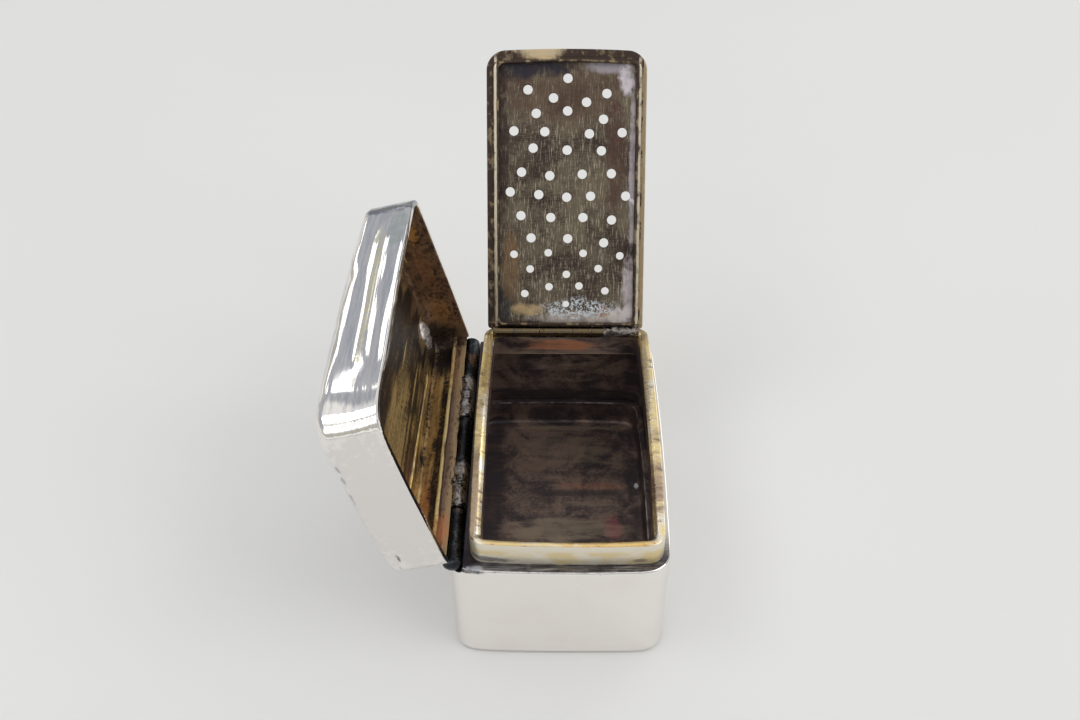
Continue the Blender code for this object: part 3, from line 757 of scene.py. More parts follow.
@dataclass(frozen=True)
class GrilleFace:
    """The grille's underside: tarnished and scratched, with painted shadow inside the rim at the
    left and far end and painted reflections inside it on the right, in a darker border with painted
    highlights on its beads.
    """

    name: str = "grille face"
    dark: Colour = (0.060, 0.040, 0.034)
    olive: Colour = (0.19, 0.155, 0.105)
    scratch: Colour = (0.60, 0.52, 0.38)
    crust: Colour = (0.72, 0.78, 0.84)
    border: Colour = (0.070, 0.047, 0.037)
    brass: Colour = (0.42, 0.32, 0.19)
    tan: Colour = (0.66, 0.53, 0.33)
    # the colour of the painted highlights on the beads
    bead: Colour = (0.74, 0.66, 0.50)
    stains_and_painted_light: tuple[StainAndPaintedLight, ...] = (
        ((0.0, -12.5, 17.8), (7.5, 3.6, 9.0), (0.13, 0.080, 0.055), 0.75),
        # Next three: painted shadow inside the rim, along the far end and the left side
        ((-3.6, -15.4, 17.8), (4.6, 1.3, 9.0), (0.035, 0.035, 0.048), 0.9),
        ((-7.0, -6.0, 17.8), (0.7, 9.0, 9.0), (0.05, 0.03, 0.028), 0.8),
        ((-7.0, 13.2, 17.8), (1.3, 2.2, 9.0), (0.035, 0.037, 0.048), 0.85),
        # Next two: tarnish stains
        ((-6.1, 8.6, 17.8), (1.1, 4.2, 9.0), (0.26, 0.155, 0.075), 0.7),
        ((6.6, -5.0, 17.8), (1.3, 7.0, 9.0), (0.115, 0.065, 0.050), 0.8),
        # Next five: painted reflections, pinkish-lavender, inside the rim on the right
        ((5.6, -15.6, 17.8), (2.6, 0.8, 9.0), (0.50, 0.46, 0.50), 0.75),
        ((7.9, -14.2, 17.8), (0.8, 1.8, 9.0), (0.80, 0.72, 0.76), 0.95),
        ((8.7, -3.0, 17.8), (0.35, 10.0, 9.0), (0.66, 0.59, 0.62), 0.8),
        ((8.5, 11.0, 17.8), (0.8, 3.8, 9.0), (0.70, 0.62, 0.62), 0.85),
        ((7.4, 14.6, 17.8), (1.7, 1.2, 9.0), (0.80, 0.73, 0.71), 0.9),
        # Next three: stains near the hinge end
        ((2.0, 14.8, 17.8), (5.2, 0.8, 9.0), (0.62, 0.54, 0.48), 0.85),
        ((-3.9, 13.8, 17.8), (2.2, 0.7, 9.0), (0.64, 0.46, 0.25), 0.9),
        ((5.3, 13.9, 17.8), (0.7, 0.8, 9.0), (0.40, 0.19, 0.08), 0.8),
    )

    def make(self) -> bpy.types.Material:
        """The material."""
        graph = Graph(self.name)
        cloud = graph.grain(0.22, seed=23.0, detail=7.0, distortion=0.5)
        lines = graph.grain(5.5, (2.2, 0.16, 1.0), seed=24.0, detail=5.0, roughness=0.6)
        cross = graph.grain(3.5, (0.3, 2.0, 1.0), seed=45.0, detail=6.0, roughness=0.65)
        torn = graph.grain(0.9, (1.2, 0.8, 1.0), seed=26.0, detail=8.0, roughness=0.64)
        tone = graph.ease(cloud * 0.65 + cross * 0.35, 0.38, 0.60)
        colour = graph.mix(self.dark, self.olive, tone)
        scratched = graph.ease(lines, 0.52, 0.68) * graph.ease(cloud + cross * 0.3, 0.36, 0.68)
        colour = graph.mix(colour, self.scratch, scratched * 0.85)
        colour = graph.stain(colour, self.stains_and_painted_light, torn)
        speckle = graph.patch((2.2, 13.7, 17.8), (4.4, 1.2, 9.0), torn)
        speckle = speckle * graph.ease(graph.grain(4.2, seed=27.0, detail=5.0), 0.46, 0.58)
        colour = graph.mix(colour, self.crust, speckle)
        inside = graph.band(graph.part("X"), -7.5, 9.1, 0.06)
        inside = inside * graph.ease(graph.part("Y"), -16.25, -16.15)
        inside = inside * graph.ease(graph.part("Z"), 17.80, 17.84)
        return graph.dress(
            Base_Color=graph.mix(self._frame(graph, torn), colour, inside),
            Metallic=0.85 - speckle * 0.5,
            Roughness=0.30 + torn * 0.2 + speckle * 0.2,
            Normal=graph.bump(lines * 0.6 + cross * 0.6 + cloud * 4.0 + speckle, 0.00003),
        )

    def _frame(self, graph: Graph, torn: Flow) -> Flow:
        """The border's colour: dark, tan at its far end and right edge, with a painted highlight
        along each bead.
        """
        across = graph.part("X")
        rim = graph.mix(self.border, self.brass, graph.ease(torn, 0.50, 0.64) * 0.7)
        tan = graph.patch((-2.5, -17.2, 18.0), (2.7, 0.9, 9.0), torn)
        rim = graph.mix(rim, self.tan, tan.most(graph.ease(across, 9.85, 9.95) * 0.7))
        edge = graph.ease(across, 9.6, 9.7) * graph.ease(torn, 0.38, 0.50)
        rim = graph.mix(rim, self.brass, edge)
        wander = across + (torn - 0.5) * 0.3
        # painted highlights along the crest of each bead
        left = graph.band(wander, -8.0, -7.78, 0.1) * graph.ease(torn, 0.24, 0.44)
        right = graph.band(wander, 9.35, 9.58, 0.1) * graph.ease(torn, 0.28, 0.50) * 0.85
        bead = left.most(right) * graph.ease(graph.part("Y"), -16.9, -16.2)
        return graph.mix(rim, self.bead, bead)


# Shapes


def slope(value: float, start: float, end: float) -> float:
    """0 up to start, 1 from end on, and straight between them."""
    return min(1.0, max(0.0, (value - start) / (end - start)))


def eased(value: float, start: float, end: float) -> float:
    """0 up to start, 1 from end on, and smooth between them."""
    share = slope(value, start, end)
    return share * share * (3 - 2 * share)


def quarter(steps: int) -> list[tuple[float, float]]:
    """The sine and cosine at even steps through a quarter turn."""
    turns = (math.pi / 2 * step / steps for step in range(steps + 1))
    return [(math.sin(turn), math.cos(turn)) for turn in turns]


def put(name: str, data: bpy.types.ID) -> bpy.types.Object:
    """Puts new data in the scene as an object."""
    obj = bpy.data.objects.new(name, data)
    bpy.context.scene.collection.objects.link(obj)
    return obj


@dataclass(frozen=True)
class Outline:
    """A rectangle with rounded corners and bowed sides, seen from above.

    Args:
        left: its least x.
        right: its greatest x.
        front: its least y.
        back: its greatest y.
        radius: its corners' size.
        bow_left: how far the middle of the left side swells out, and so on for the others.
        bow_right: the right side's swell.
        bow_front: the front's swell.
        bow_back: the back's swell.
        power: 2 for round corners, and more for squarer ones.
        back_radius: the two back corners' size, where it differs.
    """

    left: float
    right: float
    front: float
    back: float
    radius: float
    bow_left: float = 0.0
    bow_right: float = 0.0
    bow_front: float = 0.0
    bow_back: float = 0.0
    power: float = 2.0
    back_radius: float | None = None

    def inset(self, by: float) -> "Outline":
        """The outline with every side moved inwards."""
        return replace(
            self,
            left=self.left + by,
            right=self.right - by,
            front=self.front + by,
            back=self.back - by,
            radius=max(self.radius - by, 0.1 * MM),
            back_radius=self.back_radius and max(self.back_radius - by, 0.1 * MM),
        )

    def toward(self, other: "Outline", share: float) -> "Outline":
        """The outline part of the way to another."""
        sizes = {
            name: getattr(self, name) * (1 - share) + getattr(other, name) * share
            for name in ("left", "right", "front", "back", "radius", "bow_left", "bow_right")
        }
        return replace(self, **sizes)

    def _corners(self, half_x: float, half_y: float, arc: int) -> list[tuple[float, float]]:
        """The four corners' points round the middle, before the sides are bowed."""
        flat = []
        for corner, (side_x, side_y) in enumerate(((1, 1), (-1, 1), (-1, -1), (1, -1))):
            behind = side_y > 0 and self.back_radius is not None
            radius = self.back_radius if behind else self.radius
            for step in range(arc + 1):
                turn = math.pi / 2 * (corner + step / arc)
                cosine, sine = math.cos(turn), math.sin(turn)
                full = (abs(cosine) ** self.power + abs(sine) ** self.power) ** (1 / self.power)
                x = side_x * (half_x - radius) + radius * cosine / full
                y = side_y * (half_y - radius) + radius * sine / full
                flat.append((x, y))
        return flat

    def loop(self, z: float, arc: int = 12, side: int = 28) -> list[Vector]:
        """Points round the outline, counter-clockwise from above.

        Args:
            z: their height.
            arc: the steps round a corner.
            side: the steps along a side.

        Returns:
            The points.
        """
        half_x = (self.right - self.left) / 2
        half_y = (self.back - self.front) / 2
        middle = Vector(((self.right + self.left) / 2, (self.back + self.front) / 2, z))
        flat = self._corners(half_x, half_y, arc)
        points = []
        for index, (x, y) in enumerate(flat):
            points.append((x, y))
            if index % (arc + 1) == arc:
                end_x, end_y = flat[(index + 1) % len(flat)]
                for step in range(1, side):
                    share = step / side
                    points.append((x + (end_x - x) * share, y + (end_y - y) * share))
        loop = []
        for x, y in points:
            across, along = x / half_x, y / half_y
            bow_x = self.bow_right if x > 0 else self.bow_left
            bow_y = self.bow_back if y > 0 else self.bow_front
            out = (x + across * bow_x * (1 - along**2), y + along * bow_y * (1 - across**2), 0.0)
            loop.append(middle + Vector(out))
        return loop


def rounded(outline: Outline, height: float, radius: float, steps: int = 8) -> list[list[Vector]]:
    """Loops up a quarter round, from an upright side to a level top at this height."""
    return [
        outline.inset(radius * (1 - cosine)).loop(height - radius * (1 - sine))
        for sine, cosine in quarter(steps)
    ]


def upright(outline: Outline, low: float, high: float, levels: int) -> list[list[Vector]]:
    """Loops up an upright wall, without its two ends."""
    return [outline.loop(low + (high - low) * i / levels) for i in range(1, levels)]


def circle(centre: Vector, axis: Axis, along: float, radius: float, facets: int) -> list[Vector]:
    """Points round a circle, at a distance along an axis."""
    points = []
    for step in range(facets):
        turn = math.tau * (step + 0.5) / facets
        a, b = radius * math.cos(turn), radius * math.sin(turn)
        places = {Axis.X: (along, a, b), Axis.Y: (b, along, a), Axis.Z: (a, b, along)}
        points.append(centre + Vector(places[axis]))
    return points


def hand_bend(point: Vector, amount: float, size: float, seed: float = 0.0) -> Vector:
    """The small wander that hand work leaves, the same for every piece at the same place."""
    at = point / size + Vector((seed, seed * 2, seed * 3))
    return point + noise.noise_vector(at) * amount


@dataclass
class Piece:
    """One mesh in the making.

    Args:
        name: its name in the scene.
        finishes: its materials, in order.
        turned: how it lies in the world, where it was made shut.
    """

    name: str
    finishes: Sequence[bpy.types.Material]
    turned: Matrix = field(default_factory=lambda: Matrix.Identity(4))

    def __post_init__(self) -> None:
        """Starts an empty mesh."""
        self.build = bmesh.new()

    def loft(
        self,
        loops: Sequence[Sequence[Vector]],
        skins: Sequence[int] = (0,),
        ring: bool = False,
    ) -> "Piece":
        """Skins loops of points.

        Args:
            loops: the loops, each with the same number of points.
            skins: the material of each strip, the last one repeated.
            ring: the last loop meets the first, and otherwise both ends are capped.

        Returns:
            The piece.
        """
        rows = [[self.build.verts.new(point) for point in loop] for loop in loops]
        pairs = list(zip(rows, rows[1:]))
        if ring:
            pairs.append((rows[-1], rows[0]))
        else:
            self.build.faces.new(rows[0][::-1]).material_index = skins[0]
            self.build.faces.new(rows[-1]).material_index = skins[-1]
        for strip, (lower, upper) in enumerate(pairs):
            skin = skins[min(strip, len(skins) - 1)]
            for index in range(len(lower)):
                after = (index + 1) % len(lower)
                corners = (lower[index], lower[after], upper[after], upper[index])
                self.build.faces.new(corners).material_index = skin
        return self

    def move(self, shift: Callable[[Vector], Vector]) -> "Piece":
        """Moves every point."""
        for vert in self.build.verts:
            vert.co = shift(vert.co)
        return self

    def mesh(self, finishes: Sequence[bpy.types.Material]) -> bpy.types.Mesh:
        """Makes the mesh, its faces turned outwards and its finishes in order."""
        bmesh.ops.recalc_face_normals(self.build, faces=self.build.faces[:])
        mesh = bpy.data.meshes.new(self.name)
        self.build.to_mesh(mesh)
        self.build.free()
        for finish in finishes:
            mesh.materials.append(finish)
        return mesh

    def cut(self, cutter: "Piece", operation: str = "DIFFERENCE") -> "Piece":
        """Cuts this piece with another, which is used up.

        Args:
            cutter: the other piece. Its faces keep their material numbers.
            operation: the Boolean's operation.

        Returns:
            The piece.
        """
        bodies = [put(part.name, part.mesh(self.finishes)) for part in (self, cutter)]
        modifier = bodies[0].modifiers.new("cut", "BOOLEAN")
        modifier.operation = operation
        modifier.object = bodies[1]
        modifier.solver = "EXACT"
        bpy.context.view_layer.update()
        graph = bpy.context.evaluated_depsgraph_get()
        evaluated = bodies[0].evaluated_get(graph)
        self.build = bmesh.new()
        self.build.from_mesh(evaluated.to_mesh())
        evaluated.to_mesh_clear()
        for body in bodies:
            mesh = body.data
            bpy.data.objects.remove(body)
            bpy.data.meshes.remove(mesh)
        return self

    def fit(
        self,
        carrier: Carrier,
        slot: Slot,
        nodes: Sequence[str] = (),
        smooth_degrees: float = 40.0,
    ) -> bpy.types.Object:
        """Puts the finished piece in the scene, on what carries it.

        Args:
            carrier: the body that it rides on.
            slot: the record's material slot that it answers to; not used.
            nodes: the CAD nodes that it stands for.
            smooth_degrees: the sharpest edge that is shaded smooth.

        Returns:
            The object.
        """
        bmesh.ops.remove_doubles(self.build, verts=self.build.verts[:], dist=WELD)
        mesh = self.mesh(self.finishes)
        mesh.shade_smooth()
        mesh.set_sharp_from_angle(angle=math.radians(smooth_degrees))
        for face in mesh.polygons:
            face.use_smooth = len(face.vertices) <= MOST_CORNERS_SMOOTHED
        obj = put(self.name, mesh)
        obj.matrix_world = self.turned
        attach(obj, carrier.value)
        if nodes:
            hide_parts(*nodes)
        log.info("%s rides on %s, %d faces", self.name, carrier.value, len(mesh.polygons))
        return obj


def rod(
    name: str, centre: Vector, axis: Axis, start: float, end: float, radius: float, skin: int = 0
) -> Piece:
    """A plain round bar, for a cutter."""
    loops = [circle(centre, axis, along, radius, 96) for along in (start, end)]
    return Piece(name, ()).loft(loops, (skin,))


def block(name: str, low: Vector, high: Vector, skin: int = 0) -> Piece:
    """A squared block, for a cutter."""
    corners = ((0, 0), (1, 0), (1, 1), (0, 1))
    loops = [
        [Vector((high.x if a else low.x, high.y if b else low.y, z)) for a, b in corners]
        for z in (low.z, high.z)
    ]
    return Piece(name, ()).loft(loops, (skin,))


def tube_loops(
    centre: Vector,
    axis: Axis,
    start: float,
    end: float,
    radius: float,
    bore: float,
    soft: float,
    facets: int = 48,
    levels: int = 12,
) -> list[list[Vector]]:
    """Loops round a tube with softened ends, outside and then back through the bore.

    Args:
        centre: a point on its axis.
        axis: the way it runs.
        start: where it starts along the axis.
        end: where it ends.
        radius: its outside radius.
        bore: its inside radius.
        soft: the radius of its ends' edges.
        facets: the points round it.
        levels: the stretches along it.

    Returns:
        The loops, for a ring.
    """
    neck, length = radius - soft, end - start - 2 * soft
    profile = [(neck + soft * sine, start + soft - soft * cosine) for sine, cosine in quarter(4)]
    profile += [(radius, start + soft + length * level / levels) for level in range(1, levels)]
    profile += [(neck + soft * cosine, end - soft + soft * sine) for sine, cosine in quarter(4)]
    profile += [(bore, end), (bore, start)]
    return [circle(centre, axis, along, size, facets) for size, along in profile]


@dataclass(frozen=True)
class Hinge:
    """A hinge's axis, and how far the photograph has it open."""

    point: Vector
    axis: Axis
    open_degrees: float

    def open_turn(self) -> Matrix:
        """Turns a piece that is made shut to where it stands open."""
        turn = Matrix.Rotation(-math.radians(self.open_degrees), 4, self.axis.value)
        return Matrix.Translation(self.point) @ turn @ Matrix.Translation(-self.point)


# The sizes that several assemblies share

BODY = Outline(
    -11.6 * MM, 11.6 * MM, -18.0 * MM, 18.0 * MM, 3.6 * MM, power=3.0,
    bow_left=0.17 * MM, bow_right=0.4 * MM, bow_front=0.3 * MM, bow_back=0.3 * MM,
)
BEZEL = Outline(
    -9.1 * MM, 10.54 * MM, -16.94 * MM, 16.94 * MM, 1.5 * MM,
    bow_left=0.4 * MM, bow_right=0.4 * MM, bow_front=0.3 * MM,
)
SHOULDER = 14.7 * MM
BEZEL_TOP = 17.8 * MM
BEZEL_WALL = 0.9 * MM
BEVEL = 0.45 * MM
MIDDLE_X = (BEZEL.left + BEZEL.right) / 2
GRILLE_KNUCKLE = 0.575 * MM
CHANNEL = 1.095 * MM
RUNNING = 0.05 * MM
WANDER = 0.045 * MM
WANDER_SIZE = 7.0 * MM
WANDER_SEED = 7

LID_HINGE = Hinge(Vector((-11.12 * MM, 0.0, SHOULDER)), Axis.Y, 104.0)
GRILLE_HINGE = Hinge(Vector((MIDDLE_X, 16.49 * MM, 17.56 * MM)), Axis.X, 122.3)


def bend(point: Vector) -> Vector:
    """The hand work's wander that the whole box shares."""
    return hand_bend(point, WANDER, WANDER_SIZE)


def knuckle_channel(skin: int = 1) -> Piece:
    """The round cutter that clears the lid hinge's knuckles."""
    reach = BODY.back + 2 * MM
    return rod("channel", LID_HINGE.point, Axis.Y, -reach, reach, CHANNEL, skin)


@dataclass
class BoxBody:
    """The box's wall, shoulder, bezel and pan."""

    wall: float = 0.8 * MM
    foot: float = 0.7 * MM
    lip: float = 0.3 * MM
    ledge: float = 0.5 * MM
    pan_height: float = 4.9 * MM
    pan_wall: float = 0.8 * MM
    floor: float = 1.5 * MM
    fillet: float = 0.5 * MM
    dents: float = 0.07 * MM
    seam: float = 0.02 * MM
    notch_half: float = 9.02 * MM
    swell: float = 0.19 * MM
    worn_height: float = 0.6 * MM
    wear: float = 0.035 * MM
    silver: PolishedSilver = PolishedSilver(
        "body silver", ripple=(0.08, 0.08, 0.3), ripple_depth=0.00003,
        stains_and_painted_light=(
            ((-10.6, -18.2, 14.55), (2.8, 1.6, 0.35), (0.06, 0.055, 0.065), 0.95),
            ((1.0, -18.4, 14.75), (12.0, 0.5, 0.14), (0.30, 0.27, 0.27), 0.6),
        ),
    )
    ledge_finish: LedgeFinish = LedgeFinish()
    lining: DarkLining = DarkLining()
    lip_finish: BlackenedSilver = BlackenedSilver(
        "rubbed lip", dark=(0.11, 0.095, 0.095), middle=(0.48, 0.43, 0.41), roughness=0.34,
        bright_share=0.2,
    )
    face: BezelFace = BezelFace()
    edge: BezelEdge = BezelEdge()

    def make(self) -> None:
        """Builds and dresses the assembly."""
        ledge = self.ledge_finish.make()
        lining = self.lining.make()
        self._wall(ledge, lining)
        self._shoulder(ledge, lining)
        self._bezel(lining)
        self._pan(lining)

    def _wall(self, ledge: bpy.types.Material, lining: bpy.types.Material) -> None:
        """The upright band, silver outside and dark inside."""
        inside = BODY.inset(self.wall)
        foot = [
            BODY.inset(self.foot * (1 - cosine)).loop(self.foot * (1 - sine))
            for sine, cosine in reversed(quarter(8))
        ]
        side = upright(BODY, self.foot, SHOULDER - self.lip, 7)
        lip = rounded(BODY, SHOULDER, self.lip)
        loops = foot + side + lip + [inside.loop(SHOULDER), inside.loop(0.0)]
        outside = len(foot) + len(side) + len(lip) - 3
        skins = [0] * outside + [1] * 3 + [2, 0]
        piece = Piece("box_wall", (self.silver.make(), ledge, lining)).loft(loops, skins, ring=True)
        piece.cut(knuckle_channel()).move(bend)
        piece.fit(Carrier.BOX, Slot.SILVER, ("body_wall",))

    def _shoulder(self, ledge: bpy.types.Material, lining: bpy.types.Material) -> None:
        """The flat frame that the bezel stands on."""
        opening = BEZEL.inset(BEZEL_WALL)
        edge = BODY.inset(self.wall + self.seam / 2)
        under = SHOULDER - self.ledge
        loops = [opening.loop(under), edge.loop(under), edge.loop(SHOULDER), opening.loop(SHOULDER)]
        piece = Piece("shoulder", (lining, ledge)).loft(loops, (0, 1, 1, 0), ring=True)
        piece.cut(knuckle_channel()).move(bend)
        piece.fit(Carrier.BOX, Slot.BLACK, ("shoulder_plate",))

    def _bezel(self, lining: bpy.types.Material) -> None:
        """The gilt strip that stands proud, rubbed uneven along its top."""
        foot = SHOULDER + self.seam
        outer = replace(
            BEZEL, left=BEZEL.left - self.swell, right=BEZEL.right + self.swell * 1.5,
            bow_left=0.36 * MM,
        )
        inner = replace(
            BEZEL.inset(BEZEL_WALL), left=BEZEL.left + 0.96 * MM, right=BEZEL.right - 0.86 * MM,
            bow_left=0.2 * MM, bow_right=0.3 * MM,
        )
        top = rounded(outer, BEZEL_TOP, 0.14 * MM, 5)
        bevel = [
            inner.toward(outer, (1 - share) * 0.45).loop(BEZEL_TOP - BEVEL * share**1.5)
            for share in (0.0, 0.25, 0.5, 0.75, 1.0)
        ]
        inside = [inner.loop(z) for z in (17.0 * MM, 16.2 * MM, 15.4 * MM)]
        loops = [outer.loop(foot)] + upright(outer, foot, BEZEL_TOP, 4) + top + bevel + inside
        loops.append(inner.loop(foot))
        skins = [0] * 5 + [1] * (len(top) + len(bevel) - 2) + [2] * 4 + [0]
        finishes = (self.face.make(), self.edge.make(), lining)
        piece = Piece("bezel_strip", finishes).loft(loops, skins, ring=True).move(self._rub)
        seat = GRILLE_HINGE.point.z - GRILLE_KNUCKLE - RUNNING
        low = Vector((MIDDLE_X - self.notch_half, BEZEL.back - 3 * MM, seat))
        high = Vector((MIDDLE_X + self.notch_half, BEZEL.back + 3 * MM, BEZEL_TOP + 3 * MM))
        piece.cut(block("notch", low, high, skin=1)).move(bend)
        piece.fit(Carrier.BOX, Slot.WORN_GILT, ("bezel",))

    def _rub(self, point: Vector) -> Vector:
        """Wears the bezel's top edge down unevenly."""
        high = max(0.0, (point.z - BEZEL_TOP + self.worn_height) / self.worn_height)
        uneven = noise.noise(point / (1.7 * MM)) + 0.5 * noise.noise(point / (0.6 * MM))
        point = point + Vector((0.0, 0.0, -self.wear * high * (0.6 + uneven)))
        return point + noise.noise_vector(point / (0.9 * MM)) * self.wear * high

    def _pan(self, lining: bpy.types.Material) -> None:
        """The pan that closes the bottom, its floor a little dented."""
        outside = BODY.inset(self.wall + self.seam)
        inside = outside.inset(self.pan_wall)
        lip = 0.15 * MM
        fillet = [
            inside.inset(self.fillet * (1 - cosine)).loop(self.floor + self.fillet * (1 - sine))
            for sine, cosine in quarter(6)
        ]
        floor = [inside.inset(by * MM).loop(self.floor) for by in (1.2, 2.2, 3.6, 5.2, 7.0, 8.6)]
        loops = [outside.loop(0.0), outside.loop(self.pan_height - lip)]
        loops += [
            outside.inset(lip * 0.3).loop(self.pan_height - lip * 0.3),
            outside.inset(lip).loop(self.pan_height),
            inside.inset(-lip).loop(self.pan_height),
            inside.inset(-lip * 0.3).loop(self.pan_height - lip * 0.3),
            inside.loop(self.pan_height - lip),
            inside.loop(3.4 * MM),
        ]
        skins = [0, 0, 0, 0, 1, 1, 0]
        piece = Piece("pan", (lining, self.lip_finish.make())).loft(loops + fillet + floor, skins)
        piece.move(self._dent).fit(Carrier.BOX, Slot.DARK, ("base_pan",))

    def _dent(self, point: Vector) -> Vector:
        """Dents the pan's floor and its fillet, and bends all of it."""
        if point.z < 1e-6 or point.z > self.floor + self.fillet:
            return bend(point)
        sway = noise.noise(point / (5.0 * MM)) + 0.5 * noise.noise(point / (2.0 * MM))
        return bend(point + Vector((0.0, 0.0, self.dents * sway)))


@dataclass
class LidHinge:
    """The lid hinge's five knuckles on one pin, with a domed plug at each end."""

    radius: float = 1.0 * MM
    bore: float = 0.5 * MM
    length: float = 34.4 * MM
    gap: float = 0.08 * MM
    soft: float = 0.09 * MM
    count: int = 5
    dome: float = 0.3 * MM
    wear: float = 0.02 * MM
    shank: float = 0.45 * MM
    shank_length: float = 0.9 * MM
    bore_share: float = 0.8
    shown_side: Colour = (0.994, 0.0, -0.113)

    def make(self) -> None:
        """Builds and dresses the hinge."""
        plain = HingeBarrel("hinge barrel").make()
        pitch = (self.length + self.gap) / self.count
        for index in range(self.count):
            on_lid = index % 2 == 1
            start = -self.length / 2 + index * pitch
            end = start + pitch - self.gap
            if on_lid:
                place = "front" if index == 1 else "back"
                finish = HingeBarrel(
                    f"soldered barrel {place}", start / MM + 0.3, end / MM - 0.3
                ).make()
                name, carrier = f"lid_knuckle_{place}", Carrier.LID
            else:
                place = ("front", "middle", "back")[index // 2]
                name, carrier, finish = f"body_knuckle_{place}", Carrier.BOX, plain
            turned = LID_HINGE.open_turn() if on_lid else Matrix.Identity(4)
            loops = tube_loops(
                LID_HINGE.point, Axis.Y, start, end, self.radius, self.bore, self.soft,
                64, 34 if on_lid else 12,
            )
            piece = Piece(name.replace("knuckle", "barrel"), (finish,), turned)
            piece.loft(loops, ring=True)
            piece.move(self._solder if on_lid else self._worn)
            piece.fit(carrier, Slot.BLACK, (name,))
        for side, name in ((-1, "hinge_plug_front"), (1, "hinge_plug_back")):
            self._plug(side, name, plain)

    def _outwards(self, point: Vector) -> Vector:
        """The way straight out of a knuckle at a point, and nothing inside its bore."""
        out = point - LID_HINGE.point
        out.y = 0.0
        return out.normalized() if out.length >= self.radius * self.bore_share else Vector()

    def _worn(self, point: Vector) -> Vector:
        """A knuckle's surface, slightly worn."""
        depth = self.wear * (0.5 + noise.noise(point / (1.1 * MM)))
        return point - self._outwards(point) * depth

    def _solder(self, point: Vector) -> Vector:
        """A knuckle's surface with solder run in lumps over the side that shows."""
        out = self._outwards(point)
        shown = slope(out.dot(Vector(self.shown_side)), 0.45, 0.85)
        lump = noise.noise(point / (1.2 * MM)) + 0.6 * noise.noise(point / (0.5 * MM))
        rise = 0.012 * (lump - 0.2) + shown * (0.08 + 0.26 * max(0.0, 0.25 + lump))
        return point + out * rise * MM

    def _plug(self, side: int, name: str, finish: bpy.types.Material) -> None:
        """A domed plug that closes one end of the barrel."""
        end = self.length / 2 + 0.02 * MM
        profile = [(self.shank, end - self.shank_length), (self.shank, end)]
        profile.append((self.radius * 0.97, end))
        for sine, cosine in quarter(9)[1:-1]:
            profile.append((self.radius * cosine, end + self.dome * sine))
        loops = [circle(LID_HINGE.point, Axis.Y, side * y, r, 48) for r, y in profile]
        piece = Piece(name.replace("plug", "end"), (finish,)).loft(loops)
        piece.fit(Carrier.BOX, Slot.BLACK, (name,))


@dataclass(frozen=True)
class Crease:
    """One long shallow crease in the lid's free side, in millimetres.

    Args:
        height: where it lies at the side's middle.
        drift: how far it climbs for each millimetre along.
        tilt: how steeply the metal leans there.
        width: its half width.
        start: where it starts along the side.
        end: where it ends.
    """

    height: float
    drift: float
    tilt: float
    width: float
    start: float
    end: float

    def depth(self, seed: int, y: float, z: float) -> float:
        """How far it takes the side in at a place, uneven as hand work is."""
        shown = eased(y, self.start, self.start + 2.8) * slope(y, self.end, self.end - 2.4)
        beat = noise.noise(Vector((seed * 4.0, y / 2.6, 0.5)))
        stray = noise.noise(Vector((seed * 5.0, y / 4.5, 3.5))) * 0.16
        over = (z - self.height - self.drift * y - stray) / self.width
        lean = self.tilt * shown * (1 + 0.22 * beat)
        return lean * self.width * HALF_BELL * math.erf(over)


